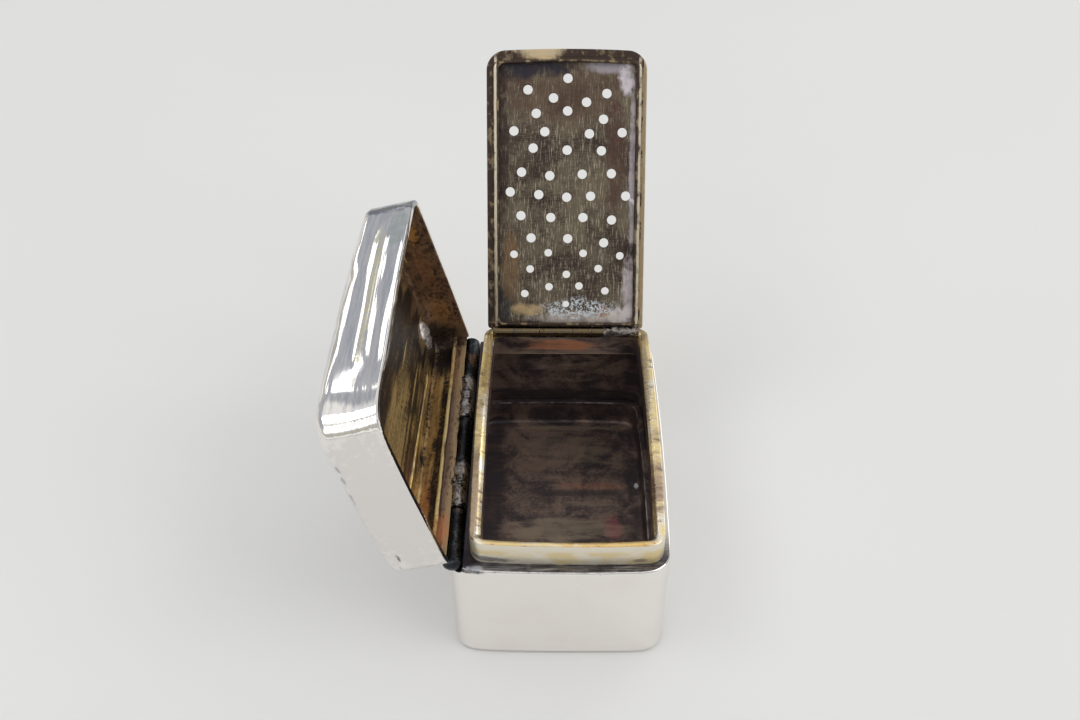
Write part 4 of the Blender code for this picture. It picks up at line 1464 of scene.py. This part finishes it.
@dataclass
class Lid:
    """The lid: its band, its cover with a struck border, and its bearer."""

    wall: float = 0.7 * MM
    rim: float = SHOULDER + 0.08 * MM
    crown: float = SHOULDER + 6.0 * MM
    dome: float = 0.55 * MM
    thickness: float = 1.2 * MM
    roll: float = 0.8 * MM
    roll_depth: float = 1.7 * MM
    fillet: float = 0.45 * MM
    bearer_foot: float = 0.08 * MM
    bearer_reach: float = 1.37 * MM
    bearer_height: float = 2.1 * MM
    bearer_edge: float = 0.3 * MM
    bulge: float = 0.45 * MM
    cut_pitch: float = 1.9 * MM
    cut_depth: float = 0.11 * MM
    cut_drop: float = 0.34 * MM
    cut_spread: float = 0.42 * MM
    waver: float = 0.03 * MM
    dome_middle: float = -4.0 * MM
    dome_half: float = 22.3 * MM
    border: tuple[float, float] = (9.6 * MM, 16.0 * MM)
    plan: Outline = replace(BODY, back=BODY.back + 0.25 * MM, back_radius=2.6 * MM)
    # The free side's marks, in millimetres
    free_side: tuple[float, float] = (10.0, 11.4)
    ripple: float = 0.009
    ripple_width: float = 0.34
    ripple_length: float = 9.0
    creases: tuple[Crease, ...] = (
        Crease(19.95, -0.012, 0.150, 0.42, -11.0, 7.5),
        Crease(18.10, 0.012, 0.150, 0.42, -11.6, 13.5),
        Crease(16.82, 0.014, -0.150, 0.42, -11.6, 12.0),
        Crease(15.22, -0.010, -0.145, 0.38, -12.8, 10.0),
        Crease(17.64, 0.010, -0.135, 0.15, -11.0, 6.0),
        Crease(17.30, 0.010, 0.135, 0.15, -11.0, 8.0),
    )
    hollow: float = 0.027
    hollow_along: tuple[float, float] = (-9.4, -13.0)
    hollow_middle: float = 18.45
    hollow_half: float = 1.5
    corner_in: float = 0.11
    corner_along: tuple[float, float] = (-14.0, -16.4)
    side_in: float = 0.085
    side_along: tuple[float, float] = (-12.2, -8.0)
    silver: PolishedSilver = PolishedSilver(
        "lid silver", ripple=(1.8, 0.06, 1.8), ripple_depth=0.00002,
        # streaks paints grey reflection streaks along the free side
        dull=((12.0, 0.5, 17.48), (1.0, 10.5, 0.42)), streaks=0.55,
        stains_and_painted_light=(
            # Next two: painted reflections along the free side, a yellow-olive band and a
            # grey-green band
            ((12.0, 0.5, 17.48), (1.0, 10.5, 0.40), (0.90, 0.82, 0.58), 0.9),
            ((12.0, 12.0, 16.0), (1.0, 4.0, 0.9), (0.62, 0.68, 0.58), 0.7),
            # Next: painted shade at the free side's far corner
            ((11.2, 16.9, 17.5), (2.2, 1.35, 6.0), (0.27, 0.28, 0.32), 0.95),
            ((0.0, -18.6, 17.6), (13.0, 1.0, 5.0), (0.80, 0.77, 0.745), 1.7),
            ((6.2, -18.2, 20.45), (0.5, 0.6, 0.20), (0.35, 0.37, 0.42), 0.8),
            ((4.6, -18.2, 20.45), (0.6, 0.6, 0.20), (0.35, 0.37, 0.42), 0.8),
            ((1.9, -18.2, 20.6), (0.7, 0.6, 0.20), (0.35, 0.37, 0.42), 0.8),
            ((-7.8, -18.2, 19.3), (0.7, 0.6, 0.16), (0.20, 0.17, 0.16), 0.9),
            ((-11.6, -18.0, 15.2), (0.9, 1.2, 0.7), (0.06, 0.055, 0.065), 0.95),
        ),
    )
    lining: LidLining = LidLining()
    bearer: BearerFace = BearerFace()

    def make(self) -> None:
        """Builds and dresses the lid."""
        silver = self.silver.make()
        lining = self.lining.make()
        black = BlackenedSilver("blackened lid").make()
        gilt = self.bearer.make()
        self._band((silver, lining, black))
        self._cover((silver, lining))
        self._bearer((gilt, black))

    @property
    def ceiling(self) -> float:
        """The height of the top's underside, with the lid shut."""
        return self.crown - self.thickness

    def _planish(self, point: Vector) -> Vector:
        """Ripples and creases the free side, with a hollow by its near corner, and bends it all."""
        x, y, z = point / MM
        near = eased(y, *self.hollow_along)
        place = Vector((7.0, y / self.ripple_length, z / self.ripple_width))
        out = self.ripple * noise.noise(place) * (1 - near)
        out -= sum(crease.depth(seed, y, z) for seed, crease in enumerate(self.creases))
        off, half = abs(z - self.hollow_middle), self.hollow_half
        out += self.hollow * near * (off * off if off < half else half * (2 * off - half))
        out -= self.corner_in * eased(y, *self.corner_along)
        out -= self.side_in * eased(y, *self.side_along)
        return bend(point + Vector((slope(x, *self.free_side) * out * MM, 0.0, 0.0)))

    def _band(self, finishes: Sequence[bpy.types.Material]) -> None:
        """The upright band, with a soft edge at its rim."""
        plan, inside = self.plan, self.plan.inset(self.wall)
        top = self.crown - self.roll_depth
        soft = 0.12 * MM
        loops = [
            plan.inset(soft).loop(self.rim),
            plan.inset(soft * 0.3).loop(self.rim + soft * 0.3),
            plan.loop(self.rim + soft),
        ]
        loops += upright(plan, self.rim + soft, top, 44) + [plan.loop(top)]
        outside = len(loops)
        loops += [inside.loop(top)] + upright(inside, top, self.rim + soft, 12)
        loops += [inside.loop(self.rim + soft), inside.inset(-soft).loop(self.rim)]
        skins = [0] * outside + [1] * (len(loops) - outside - 1) + [0]
        piece = Piece("lid_band", finishes, LID_HINGE.open_turn()).loft(loops, skins, ring=True)
        piece.cut(knuckle_channel(2)).move(self._planish)
        piece.fit(Carrier.LID, Slot.SILVER, ("lid_wall",))

    def _cover(self, finishes: Sequence[bpy.types.Material]) -> None:
        """The top with its rolled edge, on which a border of small cuts is struck."""
        plan, inside = self.plan, self.plan.inset(self.wall)
        ceiling, fillet = self.ceiling, self.fillet
        top = self.crown - self.roll_depth
        under = [inside.inset(by * MM).loop(ceiling) for by in (9.5, 7.5, 5.5, 3.6, 2.0, 1.0)]
        corner = [
            inside.inset(fillet * (1 - sine)).loop(ceiling - fillet * (1 - cosine))
            for sine, cosine in quarter(5)
        ]
        side = upright(plan, top, self.crown - self.roll, 6)
        roll = rounded(plan, self.crown, self.roll, 12)
        over = [plan.inset(by * MM).loop(self.crown) for by in (1.6, 2.4, 3.6, 5.5, 7.5, 9.6)]
        loops = under + corner + [inside.loop(top), plan.loop(top)] + side + roll + over
        skins = [1] * (len(under) + len(corner)) + [0]
        piece = Piece("lid_cover", finishes, LID_HINGE.open_turn()).loft(loops, skins)
        piece.move(self._strike).fit(Carrier.LID, Slot.SILVER, ("lid_top",))

    def _strike(self, point: Vector) -> Vector:
        """Domes the top, strikes the border's cuts and wavers the flat parts."""
        above = max(0.0, (point.z - self.ceiling) / self.thickness)
        lift = self.dome * above * (1 - ((point.y - self.dome_middle) / self.dome_half) ** 2)
        return self._planish(self._struck(point) + Vector((0.0, 0.0, lift)))

    def _struck(self, point: Vector) -> Vector:
        """A point of the cover with the border's cuts and the flat parts' waver."""
        near = max(0.0, 1.0 - abs(point.z - self.crown + self.cut_drop) / self.cut_spread)
        outer = max(abs(point.x) - self.border[0], abs(point.y) - self.border[1])
        if near > 0.0 and outer > 0.0:
            around = point.y if abs(point.x) > 10.0 * MM else point.x
            beat = max(0.0, math.cos(math.tau * around / self.cut_pitch)) ** 3
            outwards = Vector((point.x / 11.6, point.y / 18.0, 8.0 * MM / 11.6)).normalized()
            point = point - outwards * self.cut_depth * beat * near
        elif point.z > self.ceiling - 0.01 * MM:
            sway = noise.noise(point / (4.0 * MM)) + 0.5 * noise.noise(point / (1.6 * MM))
            point = point + Vector((0.0, 0.0, self.waver * sway))
        return point

    def _bearer(self, finishes: Sequence[bpy.types.Material]) -> None:
        """The strip inside the hinge side, with a painted highlight along its filed edge."""
        near, far = BODY.left - LID_HINGE.point.x, self.bearer_reach
        foot, height, soft = self.bearer_foot, self.bearer_height, self.bearer_edge
        profile = [(near, foot)]
        for step in range(8):
            z = foot + (height - soft - foot) * step / 8
            profile.append((far - self.bulge * (1 - z / height) ** 2, z))
        for sine, cosine in quarter(5):
            profile.append((far - soft + soft * cosine, height - soft + soft * sine))
        profile.append((near, height))
        loops = []
        for station in range(49):
            y = BODY.front + (BODY.back - BODY.front) * station / 48
            loops.append([LID_HINGE.point + Vector((x, y, z)) for x, z in profile])
        cavity = self.plan.inset(self.wall + 0.02 * MM)
        hollow = Piece("hollow", ()).loft([cavity.loop(self.rim), cavity.loop(self.ceiling)])
        piece = Piece("bearer_strip", finishes, LID_HINGE.open_turn()).loft(loops)
        piece.cut(hollow, "INTERSECT").cut(knuckle_channel())
        piece.move(lambda point: hand_bend(bend(point), 0.03 * MM, 2.2 * MM, 3.0))
        piece.fit(Carrier.LID, Slot.WORN_GILT, ("lid_bearer",), 30.0)


@dataclass
class LidRepairs:
    """Old solder inside the lid: a fillet beside the hinge and a lump in the far corner."""

    ceiling: float = Lid.crown - Lid.thickness
    fillet_x: float = LID_HINGE.point.x + 1.95 * MM
    fillet_drift: float = -0.035
    fillet_start: float = -16.6
    fillet_length: float = 28.2
    fillet_gilt: WornGilt = WornGilt(
        "fillet gilt", gold=(0.80, 0.58, 0.24), bare=(0.46, 0.41, 0.35), bare_share=0.9,
        brown=(0.10, 0.07, 0.045), brown_share=0.95, roughness=0.26,
    )
    lump_centre: tuple[float, float] = (LID_HINGE.point.x + 3.9 * MM, 16.0 * MM)
    lump_half: tuple[float, float] = (2.1 * MM, 1.35 * MM)
    lump_depth: float = 0.55 * MM
    lump_solder: LeadSolder = LeadSolder(light=(0.96, 0.91, 0.89), dark=(0.30, 0.26, 0.25))

    def make(self) -> None:
        """Builds and dresses the repairs."""
        self._lay("ceiling_fillet", self.fillet_gilt, Slot.WORN_GILT, self._fillet())
        self._lay("solder_lump", self.lump_solder, Slot.BLACK, self._lump())

    def _lay(
        self, name: str, finish: WornGilt | LeadSolder, slot: Slot, loops: list[list[Vector]]
    ) -> None:
        """Makes one run of solder from its loops."""
        piece = Piece(name, (finish.make(),), LID_HINGE.open_turn()).loft(loops).move(bend)
        piece.fit(Carrier.LID, slot)

    def _fillet(self) -> list[list[Vector]]:
        """Half round loops along the hinge, under the lid's top, uneven and thin at both ends."""
        loops = []
        for station in range(91):
            share = station / 90
            y = self.fillet_start + self.fillet_length * share
            fade = min(1.0, share * 12, (1 - share) * 12)
            wide = 0.30 + 0.10 * noise.noise(Vector((0.0, y * 0.7, 5.0)))
            tall = 0.26 + 0.08 * noise.noise(Vector((3.0, y * 0.9, 5.0)))
            wide, tall = wide * (0.3 + 0.7 * fade) * MM, tall * (0.2 + 0.8 * fade) * MM
            middle = Vector((self.fillet_x, y * MM, self.ceiling + 0.05 * MM))
            middle.x += self.fillet_drift * middle.y
            turns = [math.pi * step / 8 for step in range(9)]
            loops.append(
                [middle + Vector((wide * math.cos(a), 0.0, -tall * math.sin(a))) for a in turns]
            )
        return loops

    def _lump(self) -> list[list[Vector]]:
        """Ragged oval loops from the lid's top down to the lump's low point."""
        centre = Vector((*self.lump_centre, self.ceiling + 0.06 * MM))
        loops = []
        for sine, cosine in quarter(15)[:-1]:
            loop = []
            for step in range(40):
                way = math.tau * step / 40
                along, over = math.cos(way), math.sin(way)
                ragged = 1 + 0.35 * noise.noise(Vector((along, over, 2.0)) * 1.4)
                x = self.lump_half[0] * along * cosine * ragged
                y = self.lump_half[1] * over * cosine * ragged
                deep = self.lump_depth * sine
                deep *= 1 + 0.35 * noise.noise(Vector((x, y, 0.0)) / (0.5 * MM))
                loop.append(centre + Vector((x, y, -deep)))
            loops.append(loop)
        return loops


@dataclass
class Grille:
    """The pierced grille, the strip under it, and its hinge."""

    half_width: float = 9.68 * MM
    front: float = -17.23 * MM
    back: float = 15.68 * MM
    lap: float = 0.12 * MM
    cover: float = 0.58 * MM
    edge: float = 0.12 * MM
    ledge: float = 0.01 * MM
    under: float = BEZEL_TOP + RUNNING
    thickness: float = 0.5 * MM
    corner: float = 2.2 * MM
    back_corner: float = 0.45 * MM
    hole: float = 0.57 * MM
    hole_shares: tuple[tuple[float, float], ...] = ((10.5, 1.0), (4.0, 0.84), (0.0, 0.72))
    flare: float = 0.05 * MM
    rim_height: float = 0.9 * MM
    rim_side: float = 0.65 * MM
    rim_end: float = 0.3 * MM
    rim_gap: float = 0.08 * MM
    rim_round: float = 0.16 * MM
    knuckle: float = GRILLE_KNUCKLE
    knuckle_bore: float = 0.33 * MM
    half_barrel: float = 9.0 * MM
    half_middle: float = 3.204 * MM
    knuckle_gap: float = 0.06 * MM
    knuckle_edge: float = 0.05 * MM
    strap_reach: float = 0.26 * MM
    strap_rise: float = 0.055 * MM
    crust: float = 0.085 * MM
    crust_length: float = 4.5 * MM
    holes: tuple[tuple[float, float], ...] = (
        (0.10, 30.62), (-4.71, 29.28), (-1.63, 28.32), (2.35, 27.83), (4.79, 28.84),
        (-3.71, 26.50), (0.08, 26.80), (4.42, 25.82), (-6.41, 24.42), (-2.67, 24.34),
        (2.73, 24.10), (6.69, 24.24), (-4.08, 22.39), (0.05, 22.15), (4.21, 22.08),
        (-5.49, 19.51), (-2.05, 19.08), (1.90, 19.27), (5.45, 19.35), (-6.87, 17.12),
        (-3.39, 16.80), (0.03, 16.49), (2.95, 16.63), (7.23, 16.65), (-5.57, 14.25),
        (-1.91, 14.03), (2.04, 14.04), (5.55, 13.75), (-4.32, 11.53), (0.19, 11.45),
        (4.62, 10.95), (-6.42, 9.51), (-2.20, 9.71), (2.10, 9.65), (6.62, 9.36),
        (-4.44, 7.70), (0.05, 7.05), (3.98, 7.78), (-2.09, 5.50), (1.62, 5.61),
        (-5.10, 4.64), (4.84, 5.01), (0.00, 3.35),
    )
    face: GrilleFace = GrilleFace()
    outside: WornGilt = WornGilt("grille gilt", along=(1.0, 0.4, 1.0), roughness=0.24)
    barrel: WornGilt = WornGilt(
        "grille barrel", gold=(0.21, 0.150, 0.080), bare=(0.16, 0.135, 0.105),
        brown=(0.030, 0.020, 0.016), brown_share=0.95, along=(2.4, 0.5, 0.5), roughness=0.20,
    )
    solder: LeadSolder = LeadSolder(
        "grille solder", light=(0.36, 0.32, 0.30), dark=(0.05, 0.042, 0.040)
    )

    def make(self) -> None:
        """Builds and dresses the grille."""
        face, barrel = self.face.make(), self.barrel.make()
        self._sheet(face)
        self._rim(face)
        self._side_knuckles(barrel)
        self._middle_knuckle(barrel)
        self._hinge_solder(self.solder.make())

    def _plan(self) -> Outline:
        """The sheet's outline."""
        return Outline(
            MIDDLE_X - self.half_width, MIDDLE_X + self.half_width - self.lap, self.front,
            self.back, self.corner, bow_front=0.32 * MM, back_radius=self.back_corner,
        )

    def _sheet(self, face: bpy.types.Material) -> None:
        """The flat sheet, its lip over the hinge, and its holes flared where the drill came out."""
        plan, soft = self._plan(), self.edge
        low, high = self.under, self.under + self.thickness
        loops = [
            plan.inset(soft * (1 - sine)).loop(low + soft * (1 - cosine))
            for sine, cosine in quarter(4)
        ]
        over = replace(plan.inset(-self.ledge), back=self.back + self.cover)
        lip = GRILLE_HINGE.point.z + self.knuckle + 0.06 * MM
        loops += [plan.loop(lip), over.loop(lip)]
        skins = [0] * (len(loops) + 4) + [1]
        loops += rounded(over, high, soft, 4)
        piece = Piece("pierced_sheet", (face, self.outside.make()), GRILLE_HINGE.open_turn())
        piece.loft(loops, skins)
        drills = Piece("drills", ())
        for across, along in self.holes:
            centre = Vector((MIDDLE_X + across * MM, GRILLE_HINGE.point.y - along * MM, 0.0))
            radius = self.hole * next(share for start, share in self.hole_shares if along > start)
            profile = (
                (radius + 2 * self.flare, low - self.flare),
                (radius, low + self.flare),
                (radius, high - self.flare * 0.5),
                (radius + self.flare, high + self.flare * 0.5),
            )
            drills.loft([circle(centre, Axis.Z, z, r, 36) for r, z in profile])
        piece.cut(drills)
        piece.fit(Carrier.GRILLE, Slot.TARNISHED_GILT, ("grille_plate",), 50.0)

    def _rim(self, face: bpy.types.Material) -> None:
        """The strip that drops inside the bezel, rounded along its foot."""
        top = self.under - 0.01 * MM
        foot = top - self.rim_height
        outer = Outline(
            BEZEL.left + BEZEL_WALL + self.rim_gap + 0.04 * MM, BEZEL.right - 0.92 * MM,
            BEZEL.front + BEZEL_WALL + self.rim_gap, self.back, 0.8 * MM, bow_front=0.3 * MM,
        )
        over = replace(outer, front=outer.front - BEVEL)
        inner = Outline(
            outer.left + self.rim_side, outer.right - self.rim_side,
            outer.front + self.rim_end, outer.back - self.rim_end, 0.5 * MM, bow_front=0.3 * MM,
        )
        loops = [over.loop(top), inner.loop(top), inner.loop(foot + 0.45 * MM)]
        for step in range(9):
            turn = math.pi * step / 8
            between = inner.toward(outer, (1 - math.cos(turn)) / 2)
            loops.append(between.loop(foot + self.rim_round * (1 - math.sin(turn))))
        loops.append(outer.loop(top - BEVEL))
        piece = Piece("grille_bead", (face,), GRILLE_HINGE.open_turn()).loft(loops, ring=True)
        piece.move(lambda point: hand_bend(point, 0.025 * MM, 3.0 * MM, 5.0))
        piece.fit(Carrier.GRILLE, Slot.WORN_GILT, ("grille_rim",))

    def _barrel(self, start: float, end: float, levels: int = 12) -> list[list[Vector]]:
        """Loops round one knuckle."""
        return tube_loops(
            GRILLE_HINGE.point, Axis.X, start, end, self.knuckle, self.knuckle_bore,
            self.knuckle_edge, levels=levels,
        )

    def _side_knuckles(self, gilt: bpy.types.Material) -> None:
        """The two knuckles that are soldered to the bezel."""
        near, far = self.half_middle + self.knuckle_gap, self.half_barrel
        for side, start, end in (("left", -far, -near), ("right", near, far)):
            piece = Piece(f"grille_barrel_{side}", (gilt,))
            piece.loft(self._barrel(start, end, 16), ring=True)
            piece.move(lambda point: hand_bend(point, 0.01 * MM, 1.0 * MM, 2.0))
            piece.fit(Carrier.BOX, Slot.WORN_GILT, (f"grille_knuckle_{side}",))

    def _middle_knuckle(self, gilt: bpy.types.Material) -> None:
        """The knuckle that is strapped to the sheet."""
        half, point = self.half_middle, GRILLE_HINGE.point
        piece = Piece("grille_barrel_middle", (gilt,), GRILLE_HINGE.open_turn())
        piece.loft(self._barrel(-half, half), ring=True)
        low = (-half + 0.06 * MM, self.back + 0.01 * MM, (self.knuckle + self.knuckle_bore) / 2)
        high = (half - 0.06 * MM, point.y + self.strap_reach, self.knuckle + self.strap_rise)
        corner = Vector((MIDDLE_X, 0.0, point.z))
        piece.cut(block("strap", corner + Vector(low), corner + Vector(high)), "UNION")
        piece.fit(Carrier.GRILLE, Slot.WORN_GILT, ("grille_knuckle_middle",))

    def _hinge_solder(self, solder: bpy.types.Material) -> None:
        """The crust of solder round most of the right knuckle."""
        loops = []
        for station in range(31):
            share = station / 30
            x = self.half_barrel + 0.1 * MM - self.crust_length * (1 - share)
            fade = math.sin(math.pi * min(1.0, 0.08 + share * 0.9)) ** 0.5
            loop = []
            for step in range(20):
                way = math.tau * step / 20
                rough = noise.noise(Vector((x / MM, math.cos(way), math.sin(way))) * 2.4)
                radius = (self.knuckle * 0.84 + 0.16 * MM * fade) * (1 + 0.28 * rough)
                radius = min(radius, self.knuckle + self.crust)
                loop.append(Vector((x, radius * math.cos(way), radius * math.sin(way))))
            loops.append([GRILLE_HINGE.point + place for place in loop])
        Piece("grille_hinge_solder", (solder,)).loft(loops).fit(Carrier.BOX, Slot.BLACK)


@dataclass
class HiddenMetal:
    """The CAD nodes that stay: the two pins and the body's bearer, which hardly show."""

    def make(self, nodes: Mapping[str, bpy.types.Object]) -> None:
        """Dresses them.

        Args:
            nodes: the model's nodes by name.
        """
        wire = BlackenedSilver(
            "hinge wire", dark=(0.06, 0.055, 0.05), middle=(0.20, 0.185, 0.17), roughness=0.32
        ).make()
        black = BlackenedSilver("blackened bearer").make()
        for name, finish in (
            ("lid_hinge_pin", wire),
            ("grille_hinge_pin", wire),
            ("body_bearer", black),
        ):
            node = nodes[name]
            node.data.materials.clear()
            node.data.materials.append(finish)
            log.info("%s keeps its solid", name)


@dataclass(frozen=True)
class Lamp:
    """One soft rectangular light that faces the box, in metres and watts.

    Args:
        name: its name.
        at: where it hangs.
        width: its width.
        height: its height.
        power: its power.
        tint: its colour.
        lean: how far it is turned in its own plane, in degrees.
    """

    name: str
    at: Colour
    width: float
    height: float
    power: float
    tint: Colour = (1.0, 0.99, 0.97)
    lean: float = 0.0

    def make(self) -> None:
        """Hangs the light."""
        data = bpy.data.lights.new(self.name, "AREA")
        data.shape = "RECTANGLE"
        data.size = self.width
        data.size_y = self.height
        data.energy = self.power
        data.color = self.tint
        light = put(self.name, data)
        light.location = self.at
        aim = (-Vector(self.at)).to_track_quat("-Z", "Y").to_matrix()
        lean = Matrix.Rotation(math.radians(self.lean), 3, "Z")
        light.rotation_euler = (aim @ lean).to_euler()


@dataclass
class Studio:
    """The camera, the pale floor, the grey room and the soft lights."""

    lens: float = 36.472
    eye: Vector = field(default_factory=lambda: Vector((-0.491, -86.653, 106.599)) * MM)
    tilt: Colour = (47.692, 0.347, 0.799)
    room: tuple[tuple[float, Colour], ...] = (
        (0.00, (0.90, 0.90, 0.88)),
        (0.09, (0.85, 0.85, 0.83)),
        (0.14, (0.34, 0.35, 0.36)),
        (0.19, (0.52, 0.51, 0.43)),
        (0.25, (0.52, 0.51, 0.44)),
        (0.32, (0.43, 0.45, 0.49)),
        (0.52, (0.41, 0.43, 0.48)),
        (0.64, (0.42, 0.44, 0.47)),
        (0.71, (0.86, 0.86, 0.85)),
        (0.84, (0.86, 0.86, 0.85)),
        (1.00, (0.66, 0.66, 0.66)),
    )
    lamps: tuple[Lamp, ...] = (
        Lamp("window", (-0.31, -0.05, 0.46), 0.24, 0.20, 0.31),
        Lamp("front panel", (-0.29, -0.40, 0.34), 0.30, 0.28, 0.20, (1.0, 0.955, 0.95)),
        Lamp("near gleam", (-0.279, 0.332, 0.325), 0.074, 0.012, 0.0085, lean=-52.5),
        Lamp("low strip", (-0.338, 0.422, 0.217), 0.165, 0.055, 0.043, lean=35.0),
        Lamp("high strip", (-0.176, 0.424, 0.365), 0.185, 0.055, 0.048, lean=63.0),
        Lamp("right panel", (0.36, 0.42, 0.26), 0.26, 0.26, 0.28),
        Lamp("fill", (0.45, -0.15, 0.50), 0.40, 0.40, 0.90, (1.0, 0.985, 0.96)),
    )

    def make(self) -> None:
        """Sets up the studio."""
        self._camera()
        self._floor()
        self._sky()
        for lamp in self.lamps:
            lamp.make()

    def _camera(self) -> None:
        """The photograph's viewpoint."""
        data = bpy.data.cameras.new("camera")
        data.sensor_width = 36.0
        data.lens = self.lens
        data.clip_start = 0.005
        camera = put("camera", data)
        camera.location = self.eye
        camera.rotation_euler = [math.radians(angle) for angle in self.tilt]
        bpy.context.scene.camera = camera

    def _floor(self) -> None:
        """A plain pale floor, just under the box."""
        graph = Graph("floor")
        tone = graph.grain(0.012, seed=30.0, detail=2.0)
        finish = graph.dress(
            Base_Color=graph.mix((0.80, 0.80, 0.79), (0.85, 0.845, 0.83), tone),
            Roughness=0.9,
        )
        build = bmesh.new()
        bmesh.ops.create_grid(build, x_segments=1, y_segments=1, size=2.0)
        mesh = bpy.data.meshes.new("floor")
        build.to_mesh(mesh)
        build.free()
        mesh.materials.append(finish)
        floor = put("floor", mesh)
        floor.location = (0.0, 0.0, -0.02 * MM)

    def _sky(self) -> None:
        """A soft grey room: pale at the horizon and higher up, darker between and overhead."""
        world = bpy.data.worlds.new("room")
        world.use_nodes = True
        tree = world.node_tree
        place = tree.nodes.new("ShaderNodeTexCoord")
        split = tree.nodes.new("ShaderNodeSeparateXYZ")
        ramp = tree.nodes.new("ShaderNodeValToRGB")
        tree.links.new(place.outputs["Generated"], split.inputs[0])
        tree.links.new(split.outputs["Z"], ramp.inputs[0])
        tree.links.new(ramp.outputs[0], tree.nodes["Background"].inputs["Color"])
        fill_ramp(ramp.color_ramp, self.room)
        bpy.context.scene.world = world


def main() -> None:
    """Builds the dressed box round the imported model."""
    logging.basicConfig(level=logging.INFO, format="%(name)s: %(message)s", stream=sys.stdout)
    noise.seed_set(WANDER_SEED)
    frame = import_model()
    bpy.context.scene.view_settings.view_transform = "Standard"
    Studio().make()
    BoxBody().make()
    LidHinge().make()
    Lid().make()
    LidRepairs().make()
    Grille().make()
    HiddenMetal().make(frame["nodes"])


if __name__ == "__main__":
    main()
